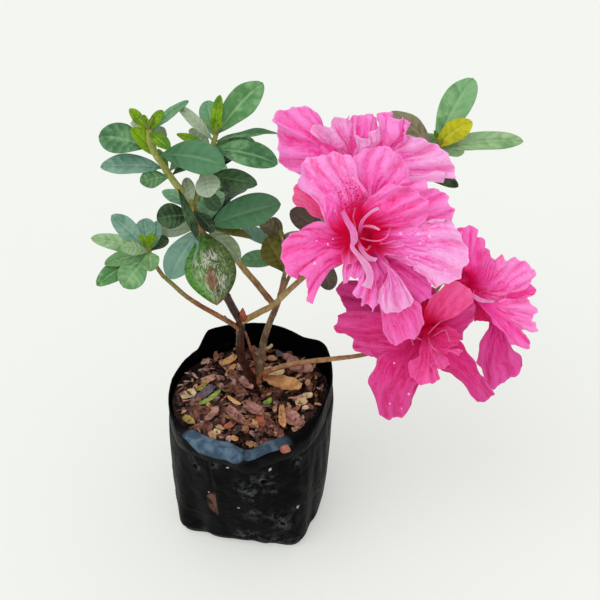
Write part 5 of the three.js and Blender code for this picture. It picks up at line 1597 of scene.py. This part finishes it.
def petal_finish(name, deep, middle, pale, speckled=False):
    """Deep, middle and pale follow each other from claw to margin, broken up by streaks, with
    crimson round the throat. Painted highlights lie on the ridges, on the crepe and beside the fold
    lines, and painted shade in the fold lines and hollows; the veins are deeper. The rim is paler,
    partly its own colour and partly a painted highlight, and a glow in the petal's own colour is
    painted light. A petal that guides bees has a crimson blotch and a cloud of small speckles beside
    its claw."""
    deep, middle, pale = paints(deep, middle, pale)
    made = Finish(name, roughness=0.5, specular_ior_level=0.12, subsurface_weight=0.15,
                  subsurface_scale=0.002, subsurface_radius=(1.0, 0.35, 0.7), emission_strength=0.19)
    where = made.place("UV")
    place_across, along = made.part(where, "X"), made.part(where, "Y")
    off_middle = abs(place_across * 2 - 1)
    which = made.value_of("petal")
    streaks = made.noise(made.place("UV", (13, 1.3, 1)), 1, 4, 0.6, 0.5, which * 7.3)
    veins = made.noise(made.place("UV", (44, 3.6, 1)), 1, 4, 0.62, 0.7, which * 3.1)
    patch = made.noise(made.place(), 85, 4, 0.6, 0.4)
    crepe = made.noise(made.place("UV", (30, 16, 1)), 1, 5, 0.7, 1.3, which * 5.7)
    folds = abs(made.noise(made.place("UV", (8, 5, 1)), 1, 3, 0.62, 0.9, which * 9.1) - 0.5)
    reach = along + (streaks - 0.5) * 0.55 + (patch - 0.5) * 0.2
    colour = made.mix(made.rise(reach, 0.12, 0.46), deep, middle)
    paleness = made.rise(reach + off_middle**4 * 0.28 + (patch - 0.5) * 0.7, 0.50, 1.08)
    colour = made.mix(paleness * 0.9, colour, pale)
    # crepe: painted highlights on its high places and painted shade in its low ones
    colour = made.mix(made.rise(crepe, 0.52, 0.70) * made.rise(along, 0.2, 0.6) * 0.55, colour, pale)
    colour = made.mix(made.rise(crepe, 0.46, 0.34) * 0.40, colour, middle)
    # painted highlight beside each fold line and painted shade in it
    painted_fold_highlight = made.rise(folds, 0.02, 0.06) * made.rise(folds, 0.17, 0.08)
    colour = made.mix(painted_fold_highlight * made.rise(along, 0.2, 0.7) * 0.4, colour, pale)
    colour = made.mix(made.rise(folds, 0.026, 0.004) * 0.32, colour, deep)
    dark_veins = made.rise(veins * 0.65 + streaks * 0.35, 0.47, 0.40) * made.rise(along, 1.15, 0.6)
    colour = made.mix(dark_veins * 0.5, colour, deep)
    # painted highlight on the ridges of the petal's shape and painted shade in its hollows
    painted_ridge_shading = made.value_of("painted_ridge_shading")
    colour = made.mix(made.rise(painted_ridge_shading, 0.02, 0.5) * 0.45, colour, pale)
    colour = made.mix(made.rise(painted_ridge_shading, -0.04, -0.5) * 0.22, colour, deep)
    # the rim is paler, partly its own colour and partly a painted highlight
    rim = made.rise(along, 0.965, 1.0) + made.rise(off_middle, 0.95, 1.0) * made.rise(along, 0.3, 0.6)
    colour = made.mix(made.rise(rim, 0.0, 1.0) * 0.55, colour, pale)
    if speckled:
        dots = made.rise(made.cells(made.place(), SPECKLES), 0.38, 0.24)
        beside = made.rise(abs(place_across - 0.66), 0.40, 0.14)
        cloud = beside * made.rise(along, 0.12, 0.24) * made.rise(along, 0.86, 0.56)
        blotch = beside * made.rise(along + (veins - 0.5) * 0.5, 0.66, 0.30)
        colour = made.mix(blotch * 0.85, colour, paint(214, 4, 70))
        colour = made.mix(dots * cloud, colour, paint(168, 0, 62))
    glow = made.value_of("from_throat") + (streaks - 0.5) * 11
    colour = made.mix(made.rise(glow, 19, 9) * 0.85, colour, deep)
    colour = made.mix(made.rise(glow, 13.5, 6.5) * 0.9, colour, paint(214, 0, 56))
    # the emission in the petal's own colour is painted light, for light through the thin petal
    made.set(base_color=colour, emission_color=colour,
             normal=made.bump(streaks * 0.3 + veins * 0.4 + crepe * 0.7 + folds * 2.6, 0.0010, 0.9))
    return made.material


print("speckles are", round(1000 / SPECKLES, 1), "mm apart")

# %% Tints of the petals
# deep, middle and pale
BRIGHT = {
    "plain": ((220, 8, 98), (247, 66, 170), (246, 146, 214)),
    "pale": ((226, 26, 120), (240, 96, 186), (240, 172, 220)),
    "ribbon": ((240, 84, 170), (250, 132, 200), (252, 186, 228)),
    "hot": ((206, 2, 62), (247, 46, 150), (246, 128, 202)),
    "rose": ((208, 8, 82), (242, 58, 150), (243, 116, 190)),
    "speckled": ((222, 4, 80), (246, 74, 174), (246, 156, 218)),
    "coral": ((214, 22, 80), (243, 72, 136), (245, 114, 166)),
    "shade": ((176, 8, 80), (222, 46, 140), (236, 104, 184)),
}
LOW = {
    "plain": ((172, 4, 58), (210, 34, 114), (214, 78, 148)),
    "rose": ((198, 8, 74), (238, 52, 136), (240, 98, 170)),
    "hot": ((188, 2, 50), (228, 28, 108), (236, 72, 148)),
    "coral": ((208, 26, 84), (246, 66, 138), (248, 104, 164)),
    "shade": ((120, 10, 52), (164, 30, 96), (196, 62, 130)),
}
RIGHT_HAND = {
    "plain": ((228, 10, 104), (254, 66, 174), (252, 132, 206)),
    "rose": ((220, 6, 86), (253, 58, 164), (251, 120, 198)),
    "pale": ((226, 12, 98), (252, 78, 176), (250, 150, 214)),
    "ribbon": ((240, 84, 170), (250, 132, 200), (252, 186, 228)),
    "deep": ((184, 2, 70), (204, 30, 122), (216, 86, 158)),
    "deepest": ((150, 6, 54), (190, 16, 84), (206, 34, 104)),
}
PETAL_PAINTS = {"bloom_front": BRIGHT, "bloom_top": BRIGHT, "bloom_low": LOW, "bloom_right": RIGHT_HAND}
print("petal tints:", len(BRIGHT) + len(LOW) + len(RIGHT_HAND))

# %% Petals, tubes and stalks
stem_finish = bark_finish("flower stalk", (120, 130, 66), (160, 160, 88), (150, 110, 80),
                          (180, 140, 104), 0.150, 0.5)
SEPALS = 5  # round the foot of each tube
sepals = []
grown_petals = {}
for order, (name, bloom) in enumerate(BLOOMS.items()):
    grids = {}
    for number, row in enumerate(PETALS[name]):
        petal = petal_from_table(bloom, row, 100 * order + number)
        grids.setdefault(row[0], []).append((number, petal))
        grown_petals[name, number] = petal
    for number, (one, other) in enumerate(RIBBONS.get(name, [])):
        one, other = places(one, bloom["centre"]), places(other, bloom["centre"])
        ribbon = petal_sheet(one, np.vstack([one[-1:], other[-1:]]), other, 0, 0.12, 50 + number)
        grids.setdefault("ribbon", []).append((60 + number, ribbon))
    axis, up, right = bloom_axes(bloom["heading"], bloom["rise"])
    foot = np.array(bloom["centre"], float) - TUBE_LENGTH * axis
    # the tube widens to its mouth, 13 mm up, and is closed by a hollow that goes 5 mm down into it
    s = np.linspace(0, 1, 24)[:, None]
    funnel = tube_grid(foot + axis * (s * 13), 1.5 + 2.0 * s**0.8 + 1.6 * s**4, 30)
    hollow = tube_grid(foot + axis * (13 - s * 5), 0.2 + 1.5 * (1 - s) + 3.2 * (1 - s) ** 3, 30)
    tube = tubes(np.concatenate([funnel, hollow])[None])
    for order_in_bloom, (tint, group) in enumerate(grids.items()):
        first_piece = order_in_bloom == 0
        petals = sheets(np.array([petal for _, petal in group]), PETAL_THICKNESS)
        parts = [petals] + [tube] * first_piece
        points = np.concatenate([part["points"] for part in parts])
        numbers, painted_ridge_shading = np.zeros(len(points)), np.zeros(len(points))
        on_petals = len(petals["points"])
        numbers[:on_petals] = np.repeat([number for number, _ in group], on_petals // len(group))
        # how far each point stands out of its row, which the finish turns into painted highlight and shade
        painted_ridge_shading[:on_petals] = np.concatenate([ridges(petal) for _, petal in group])
        stored = {"petal": numbers, "painted_ridge_shading": painted_ridge_shading,
                  "from_throat": np.linalg.norm(points - throat_of(bloom), axis=1) / bloom["crimson"]}
        skin = petal_finish(f"{name} {tint} petal", *PETAL_PAINTS[name][tint], speckled=tint == "speckled")
        piece(f"{name}_petals_{tint}", parts, [skin], [name] * first_piece, stored)
    route = [bloom["start"], *bloom["stalk"], foot.tolist(), (foot + 3 * axis).tolist()]
    stalk = limb_grid(route, 0.9, 1.15, 0, 80, step=0.6)
    piece(f"{name}_stalk", [tubes(stalk[None])], [stem_finish])
    for number in range(SEPALS):
        around = math.radians(360 / SEPALS * number)
        radial = math.cos(around) * up + math.sin(around) * right
        lean = unit(axis * 0.9 + radial * 0.45)
        heading, rise = math.degrees(math.atan2(lean[1], lean[0])), math.degrees(math.asin(lean[2]))
        sepals.append(leaf_sheet(foot - axis, heading, rise, 6.0, 0.4, 0, 700 + number))
piece("sepals", [sheets(np.array(sepals), PETAL_THICKNESS)], LEAF_FINISHES["young"])

# %% Stamens
# routes from the throat to the tip, right, above and out of the heart, in half millimetres
STAMENS = {
    "bloom_front": [
        [1, 1, -12, 7, -2, 4, 15, -3, 10, 22, 0, 12, 25, 6, 12],
        [-3, 10, -12, -6, 18, 0, -5, 24, 4],
        [-1, -1, -12, 1, -7, 6, 5, -11, 10, 7, -9, 10],
    ],
    "bloom_low": [
        [3, -10, -12, 7, -3, 4, 12, 2, 8],
        [5, -14, -12, 16, -6, 4, 19, -11, 8, 21, -17, 8],
        [-3, -16, -12, -15, -12, 4, -14, -18, 6],
        [3, -14, -12, 4, -21, 6, 10, -27, 8],
    ],
    "bloom_right": [
        [8, -7, -12, 14, -5, 6, 21, 1, 10],
        [8, -9, -12, 14, -11, 6, 22, -12, 10],
    ],
    "bloom_top": [
        [-1, 21, -12, -6, 28, 2, -4, 36, 6],
    ],
}
filaments, anthers = [], []
for name, routes in STAMENS.items():
    for route in routes:
        line = smooth_route(places(route, BLOOMS[name]["centre"]), 22)
        filaments.append(tube_grid(line, np.linspace(0.42, 0.26, 22), 8))
        anthers.append(bud_grid(line[-1], unit(line[-1] - line[-3]), 1.3, 0.5))
thread = Finish("pink filament", roughness=0.45, subsurface_weight=0.2, subsurface_scale=0.001)
pinks = paints((214, 24, 100), (250, 140, 204))
thread.set(base_color=thread.mix(thread.noise(thread.place(), 300), *pinks))
pollen = Finish("anther", roughness=0.8)
purples = paints((150, 40, 84), (214, 110, 150))
pollen.set(base_color=pollen.mix(pollen.noise(pollen.place(), 900), *purples))
piece("stamens", [tubes(np.array(filaments))], [thread.material])
piece("anthers", [tubes(np.array(anthers))], [pollen.material])

# %% [markdown]
# ## Drops of water
# A few beads of water stand on the largest petals. A bead is a low dome: rings of a sphere whose
# height is pressed to six tenths, set on a grid point of the petal and turned to its normal. Its pale
# pink colour is painted light, for the lit petal seen through the clear water.

# %% Drops of water
# bloom, petal, how many, smallest and largest radius
DROPS = [("bloom_front", 5, 15, 0.35, 0.95), ("bloom_front", 10, 5, 0.3, 0.7),
         ("bloom_front", 0, 5, 0.3, 0.6), ("bloom_low", 2, 4, 0.4, 0.8), ("bloom_right", 2, 3, 0.3, 0.6)]
random = np.random.default_rng(77)
beads = []
for name, number, count, smallest, largest in DROPS:
    petal = grown_petals[name, number]
    rows = random.integers(24, PETAL_ROWS - 5, count)
    columns = random.integers(8, PETAL_COLUMNS - 8, count)
    seat = petal[rows, columns]
    ahead, aside = unit(petal[rows + 1, columns] - seat), petal[rows, columns + 1] - seat
    outward = unit(np.cross(ahead, aside))
    outward = outward * np.sign(outward @ OUT)[:, None]
    aside = np.cross(outward, ahead)
    polar_angle = np.linspace(0.08, np.pi - 0.08, 9)[None, :, None, None]
    turn = np.linspace(0, 2 * np.pi, 14, endpoint=False)[None, None, :, None]
    ahead, aside, outward, seat = (part[:, None, None] for part in (ahead, aside, outward, seat))
    dome = (np.sin(polar_angle) * (np.cos(turn) * ahead + np.sin(turn) * aside)
            + 0.6 * np.cos(polar_angle) * outward)
    beads.append(seat + random.uniform(smallest, largest, count)[:, None, None, None] * dome)
# the beads are not clear: their pale pink colour is painted light, for the lit petal seen through them
water = Finish("drop of water", roughness=0.05, coat_weight=0.6, coat_roughness=0.03)
painted_bead_light = water.noise(water.place(), 900, 2)
water.set(base_color=water.mix(painted_bead_light, paint(250, 150, 210), paint(253, 206, 236)))
piece("drops", [tubes(np.concatenate(beads))], [water.material])
